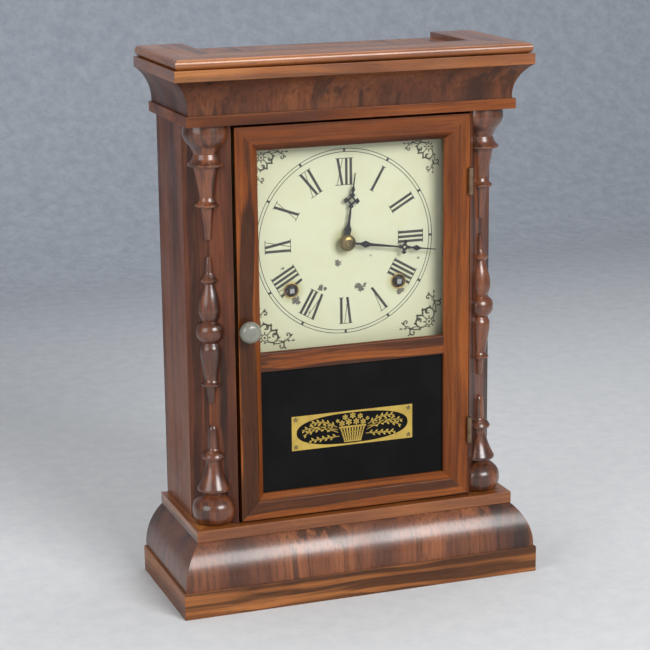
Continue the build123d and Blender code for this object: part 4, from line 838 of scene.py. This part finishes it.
# ---------------------------------------------------------------- Floor, backdrop, light, camera
def sweep_backdrop():
    """A pale sheet: flat floor that turns up into a wall through a quarter circle; height is a function of depth."""
    depth, turn = 1.1, 0.5
    a = np.linspace(0, math.pi / 2, 24)
    y = np.concatenate([[-3.2], depth + turn * np.sin(a), [depth + turn]])
    z = np.concatenate([[0], turn * (1 - np.cos(a)), [3.4]])
    x = np.array([-3.6, 3.6])
    rows = [np.repeat(x[None], len(y), 0), np.repeat(y[:, None], 2, 1), np.repeat(z[:, None], 2, 1)]
    points = np.stack(rows, 2).reshape(-1, 3)
    i = np.arange(len(y) - 1) * 2
    faces = np.stack([i, i + 1, i + 3, i + 2], 1).tolist()
    mesh = bpy.data.meshes.new("backdrop_sheet")
    mesh.from_pydata(points.tolist(), [], faces)
    mesh.polygons.foreach_set("use_smooth", np.full(len(faces), True))
    sheet = bpy.data.objects.new("backdrop_sheet", mesh)
    bpy.context.scene.collection.objects.link(sheet)
    finish, tree, shader, place = new_finish("backdrop_paper", Specular_IOR_Level=0.1, Roughness=0.95)
    mottle = spread(tree, cloud(tree, place, 60.0, 6.0, 0.75), 0.25, 0.75)
    # Painted shade: the sheet goes from the pale floor tone to a darker, bluer wall tone as depth plus height grows.
    depth_of = put(tree, "ShaderNodeSeparateXYZ", {0: place})
    back = spread(tree, math_node(tree, "ADD", depth_of.outputs[1], depth_of.outputs[2]), 0.1, 1.5)
    floor_tone = mixed(tree, mottle, colour(199, 201, 204), colour(210, 211, 212))
    painted_shade_wall_tone = mixed(tree, mottle, colour(139, 146, 156), colour(158, 164, 173))
    tree.links.new(mixed(tree, back, floor_tone, painted_shade_wall_tone), shader.inputs["Base Color"])
    mesh.materials.append(finish)


def soft_lamp(name, place, aim, size, power):
    """A rectangular area lamp at a place, its -Z turned to face the aim."""
    lamp = bpy.data.lights.new(name, "AREA")
    lamp.shape = "RECTANGLE"
    lamp.size, lamp.size_y, lamp.energy = size[0], size[1], power
    holder = bpy.data.objects.new(name, lamp)
    bpy.context.scene.collection.objects.link(holder)
    from_to = np.subtract(aim, place)
    flat = math.hypot(from_to[0], from_to[1])
    holder.rotation_euler = (math.atan2(flat, -from_to[2]), 0, math.atan2(from_to[1], from_to[0]) - math.pi / 2)
    holder.location = place


sweep_backdrop()
soft_lamp("key_softbox", (0.7, -2.1, 1.45), (0, 0, 0.24), (1.2, 1.0), 58)
soft_lamp("fill_softbox", (-1.9, -1.0, 1.0), (0, 0, 0.2), (1.4, 1.4), 21)
soft_lamp("top_softbox", (0.1, 0.35, 1.9), (0, 0, 0.2), (1.6, 1.0), 13)

world = bpy.data.worlds.new("studio_air")
bpy.context.scene.world = world
world.use_nodes = True
world.node_tree.nodes["Background"].inputs[0].default_value = (1.0, 1.0, 1.0, 1)
world.node_tree.nodes["Background"].inputs[1].default_value = 0.28

lens = bpy.data.cameras.new("photo_view")
lens.lens, lens.sensor_width, lens.sensor_fit = 111.7, 36.0, "HORIZONTAL"
eye = bpy.data.objects.new("photo_view", lens)
bpy.context.scene.collection.objects.link(eye)
YAW, PITCH, ROLL = 0.345, 0.241, -0.011
EYE_PLACE = (-0.53992, -1.47339, 0.59388)
forward = np.array([math.sin(YAW) * math.cos(PITCH), math.cos(YAW) * math.cos(PITCH), -math.sin(PITCH)])
level_right = np.array([math.cos(YAW), -math.sin(YAW), 0.0])
level_up = np.cross(level_right, forward)
right = math.cos(ROLL) * level_right + math.sin(ROLL) * level_up
upward = -math.sin(ROLL) * level_right + math.cos(ROLL) * level_up
matrix = np.eye(4)
matrix[:3, 0], matrix[:3, 1], matrix[:3, 2], matrix[:3, 3] = right, upward, -forward, EYE_PLACE
eye.matrix_world = Matrix(matrix.tolist())
bpy.context.scene.camera = eye
bpy.context.scene.view_settings.view_transform = "Standard"
